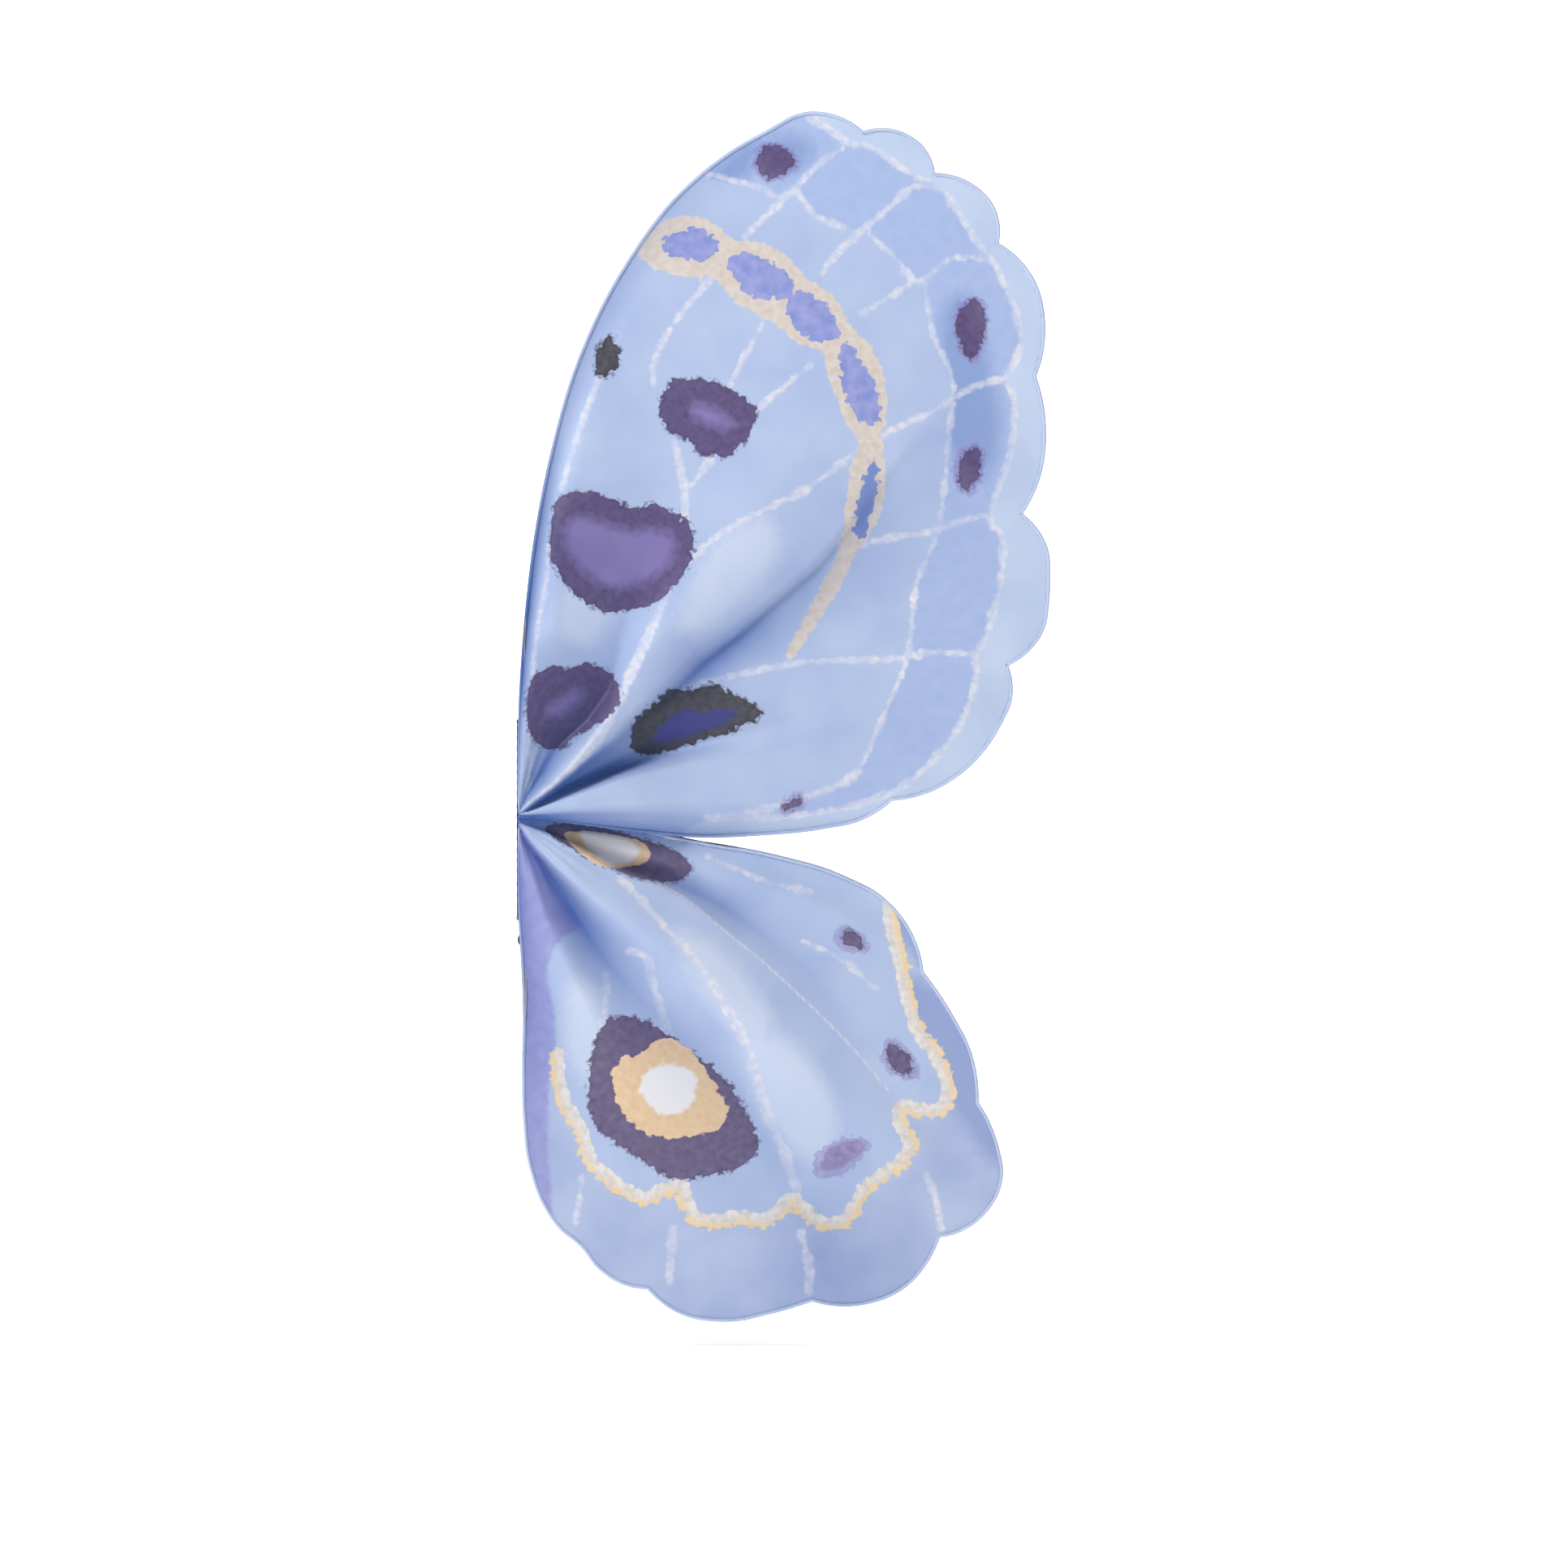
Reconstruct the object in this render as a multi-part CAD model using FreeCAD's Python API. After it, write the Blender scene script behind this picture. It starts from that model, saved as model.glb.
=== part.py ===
"""Child's fairy wings: two printed satin wings on spring wire, hinged to a padded spine with elastic straps.

Millimetres, +Z up. The origin is the centre of the pad's face that rests on the wearer's back, and +X points
from that face towards the wearer. The wings are folded forward, one each side of the straps, as they are
stored: the right wing at -Y and the left wing at +Y. Each wing turns outwards about its own upright rod.
"""

import FreeCAD, Part
import math
import os

from FreeCAD import Vector

# --- driving dimensions ---------------------------------------------------------------------------
# u is x counted from the fold line, the straight edge along which the wings meet the spine
PAD_FACE_U = 16.0
HINGE_U = 4.2  # rod axis
HINGE_Y = 18.0  # rod axis, to each side of the middle plane
ROD_R = 1.5
WIRE_R = 0.6
HEM_R = 1.1  # outside of the hem sleeve round the wire
HEM_BORE_R = 0.65
EDGE_TO_WIRE = 1.2  # outline of the wing to the middle of its wire
EDGE_TO_CLOTH = 2.4  # outline of the wing to the edge of the cloth panel inside the hem
CLOTH = 1.2  # thickness of the doubled satin, across Y

PLATE_HALF_W = 13.0
PLATE_Z = (-62.0, 50.0)
PLATE_U = (2.4, 5.6)
KNUCKLE_R = 3.8
KNUCKLE_BORE_R = 1.56
PRESS_GAP = 0.01
KNUCKLE_Z = (38.0, 50.0)
KNUCKLE_ROOT = 2.0  # how far each knuckle's foot runs into the plate
EDGE_R = 1.2  # rounding of the moulded edges
RIB_Y = (-4.0, 3.0)
RIB_T = 1.0
RIB_HALF_H = 34.0
SLOT_H = 3.4
BAR_H = 4.6  # the plate's end beyond each pair of strap slots
SLOT_W = 9.0

PAD_HALF_W = 12.4
PAD_HALF_H = 37.0
PAD_BACK_U = 6.2
PAD_CORNER_R = 5.0
PAD_EDGE_R = 2.4
STUD_PLACES = [(y, z) for y in (-8.0, 8.0) for z in (-30.0, 30.0)]
STUD_R = 1.2
STUD_HOLE_R = 1.3
STUD_HEAD_R = 2.6
STUD_HEAD_T = 1.2
STUD_DEPTH = 3.6  # into the pad
STUD_HOLE_DEPTH = 4.0
COVER_U = (0.2, 0.9)
COVER_HALF_W = 11.0
COVER_HALF_H = 41.0
COVER_CORNER_R = 3.0

BARREL_HALF_H = 37.4
BARREL_R = 3.8
ARM_HALF_H = 13.0
ARM_Y = (15.2, 19.8)
ARM_END_U = 19.0
SOCKET_DEPTH = 7.0  # how far each wire goes into the arm
SOCKET_Z = 7.0
SOCKET_SLOPE = 0.12
SOCKET_LEAD = 14.0  # straight wire before its bend
SEWING_PLATE_T = 1.2
SEWING_PLATE_U = (10.6, 18.4)
SEWING_PLATE_HALF_H = 10.0
SEWING_PLATE_R = 0.9
THREAD_HOLE_R = 0.5
THREAD_HOLE_U = (12.0, 14.5, 17.0)
THREAD_HOLE_Z = (-8.4, -6.4, 6.4, 8.4)
SEWN_U = (11.2, 17.8)
SEWN_Z = (5.4, 9.4)
SEWN_TOP_Y = 23.2
RIVET_U = 14.5
RIVET_Z = 2.6
RIVET_R = 1.2
RIVET_HOLE_R = 1.25
RIVET_OUTER_HEAD = (1.7, 0.6)  # radius and height
RIVET_INNER_HEAD = (2.0, 0.7)
FERRULE_R = 2.2
FERRULE_Z = (50.6, 60.0)
ROD_IN_FERRULE = 3.6
ROD_BORE_DEPTH = 3.8
WIRE_START = 4.0  # from the ferrule's inner end
WIRE_BEND = 2.0  # straight wire beyond the ferrule

STRAP_W = 8.0
STRAP_T = 1.2
STRAP_Y = 7.0
RING_WIRE_R = 1.2
RING_SIDE = 5.4  # middle of the ring to the middle of its side bars
RING_BEND = 1.4
RING_GAP = 7.0  # between the middles of the ring's two long bars
LAYER_GAP = 3.7  # between the middles of the strap's two layers where it comes back from the ring
SLIDER = (10.0, 13.6, 8.0)  # along the strap, across it and through it
TUNNEL_CLEAR = (0.8, 0.7)  # across the strap and through it
GRIP_W = 3.0  # the groove for the thumb
GRIP_DEPTH = 0.6

# --- the wing's outline in (u, z), from cusp to cusp ----------------------------------------------
LEADING_EDGE = [(2.8, 95.0), (7.2, 134.0), (15.6, 178.8), (28.4, 223.6), (49.6, 268.4), (84.0, 313.2),
                (117.6, 337.2), (147.6, 349.2), (159.6, 346.6), (170.8, 339.6)]
UPPER_SCALLOPS = [
    [(170.8, 339.6), (191.6, 338.4), (202.0, 330.0), (206.4, 318.8)],
    [(206.4, 318.8), (222.8, 314.6), (236.4, 300.4), (238.0, 284.0)],
    [(238.0, 284.0), (252.8, 270.4), (260.8, 238.0), (256.4, 218.0)],
    [(256.4, 218.0), (261.2, 193.0), (258.8, 169.6), (250.0, 150.4)],
    [(250.0, 150.4), (260.4, 137.6), (263.2, 113.6), (257.6, 88.0), (242.8, 75.2)],
    [(242.8, 75.2), (244.8, 62.0), (237.6, 43.2), (219.2, 21.6), (201.2, 11.6), (185.2, 8.4)],
]
UPPER_TRAILING_EDGE = [(185.2, 8.4), (169.2, -1.6), (152.0, -5.4), (118.4, -8.8), (88.0, -9.6)]

LOWER_TOP_EDGE = [(88.0, -10.2), (126.4, -17.2), (160.0, -27.2), (182.4, -39.6), (194.4, -54.4),
                  (200.8, -75.2)]
LOWER_SCALLOPS = [
    [(200.8, -75.2), (214.4, -94.8), (225.2, -117.2), (228.0, -139.6)],
    [(228.0, -139.6), (238.0, -162.0), (240.0, -176.0), (230.0, -196.4), (208.8, -206.8)],
    [(208.8, -206.8), (204.0, -217.2), (192.4, -231.0), (170.0, -240.2), (145.6, -238.4)],
    [(145.6, -238.4), (128.8, -243.6), (103.2, -248.4), (80.8, -244.8), (64.0, -232.4)],
]
LOWER_INNER_EDGE = [(64.0, -232.4), (50.8, -229.6), (40.0, -222.4), (30.8, -211.2), (20.0, -202.0),
                    (12.4, -190.8), (5.6, -172.0), (2.4, -146.0), (2.0, -126.0), (2.9, -95.0)]

# --- the pleats: angle from +u in degrees, how far each crease stands out from the cloth ----------
PLEAT_APEX = (0.8, 24.0, 1.2)
PLEAT_MIN_U = 2.8
UPPER_PLEATS = [(90.0, 24.6), (80.0, 29.0), (70.0, 25.0), (58.0, 32.0), (46.0, 23.0), (33.0, 31.0),
                (21.0, 23.0), (8.0, 28.0), (-5.5, 23.4)]
LOWER_PLEATS = [(-90.0, 24.6), (-79.0, 29.0), (-67.0, 24.0), (-55.0, 32.0), (-43.0, 23.0),
                (-32.0, 31.0), (-21.0, 23.0), (-9.5, 24.6)]
PLEAT_MID_R = 56.0
EDGE_PLEAT_MID_R = 44.0
PLEAT_END_R = 96.0
EDGE_PLEAT_END_R = 92.0
EDGE_PLEAT_END_Y = 22.6

# --- the right strap in (u, z) --------------------------------------------------------------------
STRAP_LOOP = [(10.4, -69.6), (19.0, -81.0), (37.0, -91.5), (59.0, -86.0), (76.0, -63.0), (83.0, -30.0),
              (78.0, 2.0), (66.0, 26.0)]
STRAP_LEAVES = (0.75, -0.66)  # direction at the lower tab
LOWER_TAB_END = (9.3, -67.6)
LOWER_TAB_END_R = 0.3
TAB_R = 2.9  # round the plate's bar
TAB_CLEAR = 0.1
TAB_T = 1.0
RING_BAR = (19.5, 53.5)  # the ring's bar that the strap goes round
STRAP_TAIL = 46.0  # the layer that comes back from the ring
SLIDER_AT = 0.5  # share of the straight run


def at(u, y, z):
    """A point given from the fold line, in the part's own frame."""
    return Vector(u - PAD_FACE_U, y, z)


def box(u, y, z):
    """A box from three (low, high) pairs."""
    size = [b - a for a, b in (u, y, z)]
    return Part.makeBox(*size, at(u[0], y[0], z[0]))


def centred_box(x, y, z):
    return Part.makeBox(x, y, z, Vector(-x / 2, -y / 2, -z / 2))


def cylinder(radius, start, end):
    return Part.makeCylinder(radius, (end - start).Length, start, end - start)


def edges_along(shape, axis):
    """The straight edges that lie along one axis."""
    return [e for e in shape.Edges if abs(getattr(e.tangentAt(e.FirstParameter), axis)) > 0.9]


# --- flat chains of arcs --------------------------------------------------------------------------
def circle_tangent(a, b, c, where):
    """The direction at point number where of the circle through three points."""
    (ax, ay), (bx, by), (cx, cy) = a, b, c
    d = 2 * (ax * (by - cy) + bx * (cy - ay) + cx * (ay - by))
    if abs(d) < 1e-6:
        return unit((cx - ax, cy - ay))
    a2, b2, c2 = ax * ax + ay * ay, bx * bx + by * by, cx * cx + cy * cy
    ox = (a2 * (by - cy) + b2 * (cy - ay) + c2 * (ay - by)) / d
    oy = (a2 * (cx - bx) + b2 * (ax - cx) + c2 * (bx - ax)) / d
    px, py = (a, b, c)[where]
    turn = 1 if (bx - ax) * (cy - by) - (by - ay) * (cx - bx) > 0 else -1
    return unit((-(py - oy) * turn, (px - ox) * turn))


def unit(v):
    size = math.hypot(*v)
    return (v[0] / size, v[1] / size)


def tangents(points, start=None, end=None):
    """A direction at each point of a run that has no corner."""
    if len(points) < 3:
        straight = unit((points[-1][0] - points[0][0], points[-1][1] - points[0][1]))
        return [start or straight, end or straight]
    inner = [circle_tangent(*points[i - 1 : i + 2], 1) for i in range(1, len(points) - 1)]
    return [start or circle_tangent(*points[:3], 0), *inner, end or circle_tangent(*points[-3:], 2)]


def biarc(p, t, q, s):
    """Two arcs that leave p along t and reach q along s, each as (start, start direction, end)."""
    vx, vy = q[0] - p[0], q[1] - p[1]
    tx, ty = t[0] + s[0], t[1] + s[1]
    vt, a, c = vx * tx + vy * ty, 2 * (1 - (t[0] * s[0] + t[1] * s[1])), vx * vx + vy * vy
    d = c / (2 * vt) if abs(a) < 1e-9 else (-vt + math.sqrt(vt * vt + a * c)) / a
    joint = ((p[0] + q[0] + d * (t[0] - s[0])) / 2, (p[1] + q[1] + d * (t[1] - s[1])) / 2)
    return [(p, t, joint), (joint, end_direction(p, t, joint), q)]


def end_direction(p, t, q):
    """The direction at q of the arc that leaves p along t."""
    x, y = unit((q[0] - p[0], q[1] - p[1]))
    dot = t[0] * x + t[1] * y
    return (2 * dot * x - t[0], 2 * dot * y - t[1])


def run_arcs(points, start=None, end=None):
    """The arcs of a smooth run through points."""
    ways = tangents(points, start, end)
    arcs = []
    for i in range(len(points) - 1):
        arcs += biarc(points[i], ways[i], points[i + 1], ways[i + 1])
    return arcs


def moved(p, t, inset):
    """p, moved to the right of the direction t."""
    return (p[0] + t[1] * inset, p[1] - t[0] * inset)


def inset_chain(runs, inset):
    """Several runs as one chain, moved to the right of the way they go, with a round bend at each cusp."""
    chain = []
    for number, points in enumerate(runs):
        arcs = run_arcs(points)
        if number:
            cusp, before, after = points[0], end_direction(*last), arcs[0][1]
            chain.append((moved(cusp, before, inset), before, moved(cusp, after, inset)))
        for p, t, q in arcs:
            chain.append((moved(p, t, inset), t, moved(q, end_direction(p, t, q), inset)))
        last = arcs[-1]
    return chain


def arc_edge(arc, y):
    """One arc of a chain as an edge in the upright plane at y."""
    p, t, q = arc
    chord = unit((q[0] - p[0], q[1] - p[1]))
    cross = t[0] * chord[1] - t[1] * chord[0]
    start, end = at(p[0], y, p[1]), at(q[0], y, q[1])
    if abs(cross) < 2e-4:
        return Part.LineSegment(start, end).toShape()
    half = math.atan2(cross, t[0] * chord[0] + t[1] * chord[1])
    length = math.hypot(q[0] - p[0], q[1] - p[1])
    sag = length / 2 * math.tan(half / 2)
    middle = ((p[0] + q[0]) / 2 + sag * chord[1], (p[1] + q[1]) / 2 - sag * chord[0])
    return Part.Arc(start, at(middle[0], y, middle[1]), end).toShape()


def wire_of(chain, y):
    return Part.Wire([arc_edge(a, y) for a in chain])


def pipe(path, radius):
    """A round bar along a wire."""
    first = path.OrderedEdges[0]
    start = first.valueAt(first.FirstParameter)
    way = first.tangentAt(first.FirstParameter)
    section = Part.Wire([Part.makeCircle(radius, start, way)])
    return path.makePipeShell([section], True, False)


# --- the frame of one wing, made at -Y ------------------------------------------------------------
def wing_runs(upper):
    """The outline runs, with the cloth on the right of the way they go."""
    if upper:
        return [LEADING_EDGE, *UPPER_SCALLOPS, UPPER_TRAILING_EDGE]
    return [LOWER_TOP_EDGE, *LOWER_SCALLOPS, LOWER_INNER_EDGE]


def socket(upper):
    """Where the wire enters the root block, and the direction it comes in along."""
    side = 1 if upper else -1
    return (ARM_END_U - SOCKET_DEPTH, side * SOCKET_Z), unit((-1.0, side * SOCKET_SLOPE))


def wing_wire(upper):
    """The spring wire of the upper or the lower loop, from the rod's ferrule to the root block."""
    chain = inset_chain(wing_runs(upper), EDGE_TO_WIRE)
    point, way = socket(upper)
    mouth = (point[0] - way[0] * SOCKET_LEAD, point[1] - way[1] * SOCKET_LEAD)
    wire_start, bend_start = FERRULE_Z[0] + WIRE_START, FERRULE_Z[1] + WIRE_BEND
    if upper:
        lead = [((HINGE_U, wire_start), (0.0, 1.0), (HINGE_U, bend_start))]
        lead += biarc(lead[0][2], (0.0, 1.0), chain[0][0], chain[0][1])
        tail = biarc(chain[-1][2], end_direction(*chain[-1]), mouth, way) + [(mouth, way, point)]
        return wire_of(lead + chain + tail, -HINGE_Y)
    back = (-way[0], -way[1])
    lead = [(point, back, mouth), *biarc(mouth, back, chain[0][0], chain[0][1])]
    foot = (HINGE_U, -bend_start)
    tail = biarc(chain[-1][2], end_direction(*chain[-1]), foot, (0.0, 1.0))
    tail.append((foot, (0.0, 1.0), (HINGE_U, -wire_start)))
    return wire_of(lead + chain + tail, -HINGE_Y)


def hem(upper):
    """The rolled hem: a sleeve of doubled satin round the wire."""
    path = wire_of(inset_chain(wing_runs(upper), EDGE_TO_WIRE), -HINGE_Y)
    return pipe(path, HEM_R).cut(pipe(path, HEM_BORE_R))


# --- the cloth of one wing ------------------------------------------------------------------------
def pleat_points(pleats, upper):
    """The apex, the creases' outermost points and the points where the pleats run out, as (u, y, z)."""
    side = 1 if upper else -1
    apex = (PLEAT_APEX[0], PLEAT_APEX[1], side * PLEAT_APEX[2])
    mids, ends = [], []
    for number, (angle, out) in enumerate(pleats):
        a = math.radians(angle)
        edge = number in (0, len(pleats) - 1)
        mid_r = EDGE_PLEAT_MID_R if number == 0 else PLEAT_MID_R
        end_r = EDGE_PLEAT_END_R if edge else PLEAT_END_R
        end_y = EDGE_PLEAT_END_Y if edge else HINGE_Y + CLOTH / 2
        mids.append((apex[0] + mid_r * math.cos(a), out, apex[2] + mid_r * math.sin(a)))
        ends.append((max(PLEAT_MIN_U, apex[0] + end_r * math.cos(a)), end_y, apex[2] + end_r * math.sin(a)))
    return apex, mids, ends


def pleated_fan(pleats, upper):
    """The gathered part of the panel: a folded sheet that runs from the gather out to the flat cloth."""
    apex, mids, ends = pleat_points(pleats, upper)
    triangles = []
    for i in range(len(mids) - 1):
        triangles.append((apex, mids[i], mids[i + 1]))
        triangles.append((mids[i], ends[i], ends[i + 1]))
        triangles.append((mids[i], ends[i + 1], mids[i + 1]))
    rim = [apex, mids[0], *ends, mids[-1], apex]
    faces = []
    for depth in (0.0, CLOTH):
        for triangle in triangles:
            corners = [at(u, depth - y, z) for u, y, z in triangle]
            faces.append(Part.Face(Part.makePolygon([*corners, corners[0]])))
    for a, b in zip(rim, rim[1:]):
        corners = [at(a[0], -a[1], a[2]), at(b[0], -b[1], b[2]), at(b[0], CLOTH - b[1], b[2]),
                   at(a[0], CLOTH - a[1], a[2])]
        faces.append(Part.Face(Part.makePolygon([*corners, corners[0]])))
    solid = Part.Solid(Part.Shell(faces))
    if solid.Volume < 0:
        solid.reverse()
    return solid


def flat_cloth(pleats, upper):
    """The flat part of the panel, from where the pleats run out to the hem."""
    _, _, ends = pleat_points(pleats, upper)
    y = -HINGE_Y - CLOTH / 2
    chain = inset_chain(wing_runs(upper), EDGE_TO_CLOTH)
    edges = [arc_edge(a, y) for a in chain]
    inner = [(u, z) for u, _, z in ends[1:-1]]
    # the upper panel's outline starts beside its first pleat; the lower panel's ends beside its own
    corners = [chain[-1][2], *(inner[::-1] if upper else inner), chain[0][0]]
    for a, b in zip(corners, corners[1:]):
        edges.append(Part.LineSegment(at(a[0], y, a[1]), at(b[0], y, b[1])).toShape())
    face = Part.Face(Part.Wire(Part.__sortEdges__(edges)))
    return face.extrude(Vector(0, CLOTH, 0))


def wing_cloth(upper):
    pleats = UPPER_PLEATS if upper else LOWER_PLEATS
    # the gathered satin is sewn down to the sewing plate
    z = sorted(side * (1 if upper else -1) for side in SEWN_Z)
    sewn = box(SEWN_U, (-SEWN_TOP_Y, -ARM_Y[1] - SEWING_PLATE_T), z)
    return flat_cloth(pleats, upper).fuse([pleated_fan(pleats, upper), sewn]).removeSplitter()


# --- the root of one wing -------------------------------------------------------------------------
def pivot_rod():
    reach = FERRULE_Z[0] + ROD_IN_FERRULE
    return cylinder(ROD_R, at(HINGE_U, -HINGE_Y, -reach), at(HINGE_U, -HINGE_Y, reach))


def rod_ferrules():
    """The two crimped sleeves that join the rod's ends to the wires."""
    sleeves = []
    for side in (1, -1):
        low, high = (at(HINGE_U, -HINGE_Y, side * z) for z in FERRULE_Z)
        seam = at(HINGE_U, -HINGE_Y, side * (FERRULE_Z[0] + ROD_BORE_DEPTH))
        sleeve = cylinder(FERRULE_R, low, high)
        sleeve = sleeve.cut(cylinder(ROD_R + PRESS_GAP, low, seam))
        sleeve = sleeve.cut(cylinder(WIRE_R + PRESS_GAP, seam, high))
        sleeves.append(sleeve)
    return Part.Compound(sleeves)


def root_block():
    """The moulded barrel that turns on the rod, with an arm that holds the inner ends of both wires."""
    axis = at(HINGE_U, -HINGE_Y, -BARREL_HALF_H), at(HINGE_U, -HINGE_Y, BARREL_HALF_H)
    arm = box((HINGE_U, ARM_END_U), (-ARM_Y[1], -ARM_Y[0]), (-ARM_HALF_H, ARM_HALF_H))
    arm = arm.makeFillet(EDGE_R, edges_along(arm, "x"))
    block = cylinder(BARREL_R, *axis).fuse(arm).removeSplitter()
    block = block.cut(cylinder(ROD_R + PRESS_GAP, *axis))
    for upper in (True, False):
        point, way = socket(upper)
        start = at(point[0], -HINGE_Y, point[1])
        mouth = start - Vector(way[0], 0, way[1]) * 2 * SOCKET_DEPTH
        block = block.cut(cylinder(WIRE_R + PRESS_GAP, start, mouth))
    return block.cut(rivet_holes())


def rivet_holes():
    holes = []
    for z in (-RIVET_Z, RIVET_Z):
        holes.append(cylinder(RIVET_HOLE_R, at(RIVET_U, -ARM_Y[1] - 3, z), at(RIVET_U, -ARM_Y[0] + 1, z)))
    return Part.Compound(holes)


def sewing_plate():
    """The plate riveted to the arm's outer face, with holes for the thread that holds the gathered satin."""
    y = (-ARM_Y[1] - SEWING_PLATE_T, -ARM_Y[1])
    plate = box(SEWING_PLATE_U, y, (-SEWING_PLATE_HALF_H, SEWING_PLATE_HALF_H))
    plate = plate.makeFillet(SEWING_PLATE_R, edges_along(plate, "y")).cut(rivet_holes())
    for z in THREAD_HOLE_Z:
        for u in THREAD_HOLE_U:
            plate = plate.cut(cylinder(THREAD_HOLE_R, at(u, y[0] - 1, z), at(u, y[1] + 1, z)))
    return plate


def plate_rivets():
    rivets = []
    outer, inner = -ARM_Y[1] - SEWING_PLATE_T, -ARM_Y[0]
    outer_r, outer_t = RIVET_OUTER_HEAD
    inner_r, inner_t = RIVET_INNER_HEAD
    for z in (-RIVET_Z, RIVET_Z):
        low, high = at(RIVET_U, outer - outer_t, z), at(RIVET_U, inner + inner_t, z)
        heads = [cylinder(outer_r, low, at(RIVET_U, outer, z))]
        heads.append(cylinder(inner_r, at(RIVET_U, inner, z), high))
        rivets.append(cylinder(RIVET_R, low, high).fuse(heads).removeSplitter())
    return Part.Compound(rivets)


# --- the spine ------------------------------------------------------------------------------------
def spine_plate():
    """The moulded plate with a pair of hinge knuckles along each side and a strap slot at each corner."""
    body = box(PLATE_U, (-PLATE_HALF_W, PLATE_HALF_W), PLATE_Z)
    body = body.makeFillet(EDGE_R, edges_along(body, "x"))
    parts, bores = [], []
    for side in (1, -1):
        for end in (1, -1):
            low, high = (at(HINGE_U, side * HINGE_Y, end * z) for z in KNUCKLE_Z)
            parts.append(cylinder(KNUCKLE_R, low, high))
            z = sorted(end * k for k in KNUCKLE_Z)
            y = sorted(side * k for k in (PLATE_HALF_W - KNUCKLE_ROOT, HINGE_Y))
            parts.append(box(PLATE_U, y, z))
            bores.append(cylinder(KNUCKLE_BORE_R, low, high))
    # two upright ribs stiffen the plate behind the satin cover
    for y in RIB_Y:
        parts.append(box((PLATE_U[0] - RIB_T, PLATE_U[0]), (y, y + RIB_T), (-RIB_HALF_H, RIB_HALF_H)))
    plate = body.fuse(parts).removeSplitter()
    for bore in bores:
        plate = plate.cut(bore)
    for side in (1, -1):
        y = (side * STRAP_Y - SLOT_W / 2, side * STRAP_Y + SLOT_W / 2)
        for low in (PLATE_Z[0] + BAR_H, PLATE_Z[1] - BAR_H - SLOT_H):
            plate = plate.cut(box((0.0, PLATE_U[1] + 1), y, (low, low + SLOT_H)))
    for y, z in STUD_PLACES:
        plate = plate.cut(cylinder(STUD_HOLE_R, at(0, y, z), at(PLATE_U[1] + 1, y, z)))
    return plate


def back_pad():
    """The foam pad in a satin cover. Its flat face rests on the wearer's back."""
    pad = box((PAD_BACK_U, PAD_FACE_U), (-PAD_HALF_W, PAD_HALF_W), (-PAD_HALF_H, PAD_HALF_H))
    pad = pad.makeFillet(PAD_CORNER_R, edges_along(pad, "x"))
    pad = pad.makeFillet(PAD_EDGE_R, [e for e in pad.Edges if e.BoundBox.XMin > -0.01])
    for y, z in STUD_PLACES:
        pad = pad.cut(cylinder(STUD_HOLE_R, at(0, y, z), at(PAD_BACK_U + STUD_HOLE_DEPTH, y, z)))
    return pad


def pad_studs():
    """Four push-in studs that hold the pad to the plate."""
    studs = []
    for y, z in STUD_PLACES:
        low = at(PLATE_U[0] - STUD_HEAD_T, y, z)
        shank = cylinder(STUD_R, low, at(PAD_BACK_U + STUD_DEPTH, y, z))
        head = cylinder(STUD_HEAD_R, low, at(PLATE_U[0], y, z))
        studs.append(shank.fuse(head).removeSplitter())
    return Part.Compound(studs)


def spine_cover():
    """The satin strip over the outside of the plate."""
    strip = box(COVER_U, (-COVER_HALF_W, COVER_HALF_W), (-COVER_HALF_H, COVER_HALF_H))
    return strip.makeFillet(COVER_CORNER_R, edges_along(strip, "x"))


# --- the straps, made for the right side ----------------------------------------------------------
def belt(c1, r1, c2, r2, thickness):
    """A band round two bars, as a loop of the strap's width."""

    def outline(grow):
        a, b = r1 + grow, r2 + grow
        dx, dz = c2[0] - c1[0], c2[1] - c1[1]
        far, way = math.hypot(dx, dz), math.atan2(dz, dx)
        lean = math.acos((a - b) / far)
        y = -STRAP_Y - STRAP_W / 2

        def on(c, r, angle):
            return at(c[0] + r * math.cos(angle), y, c[1] + r * math.sin(angle))

        p1, p2 = on(c1, a, way + lean), on(c2, b, way + lean)
        q1, q2 = on(c1, a, way - lean), on(c2, b, way - lean)
        edges = [
            Part.LineSegment(p1, p2).toShape(),
            Part.Arc(p2, on(c2, b, way), q2).toShape(),
            Part.LineSegment(q2, q1).toShape(),
            Part.Arc(q1, on(c1, a, way + math.pi), p1).toShape(),
        ]
        return Part.Face(Part.Wire(edges))

    ring = outline(thickness + TAB_CLEAR).cut(outline(TAB_CLEAR))
    return ring.extrude(Vector(0, STRAP_W, 0))


def ribbon(chain):
    """A flat band on edge along a chain of arcs."""
    half, y = STRAP_T / 2, -STRAP_Y - STRAP_W / 2
    sides = []
    for inset in (half, -half):
        sides.append([(moved(p, t, inset), t, moved(q, end_direction(p, t, q), inset)) for p, t, q in chain])
    edges = [arc_edge(a, y) for side in sides for a in side]
    for a, b in ((sides[0][0][0], sides[1][0][0]), (sides[0][-1][2], sides[1][-1][2])):
        edges.append(Part.LineSegment(at(a[0], y, a[1]), at(b[0], y, b[1])).toShape())
    face = Part.Face(Part.Wire(Part.__sortEdges__(edges)))
    return face.extrude(Vector(0, STRAP_W, 0))


def strap_run():
    """The straight run of the strap: its start, its end beside the ring, and its direction."""
    start = STRAP_LOOP[-1]
    way = unit((RING_BAR[0] - start[0], RING_BAR[1] - start[1]))
    end = moved(RING_BAR, way, LAYER_GAP / 2)
    start = moved(start, way, LAYER_GAP / 2)
    return start, end, way


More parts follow.
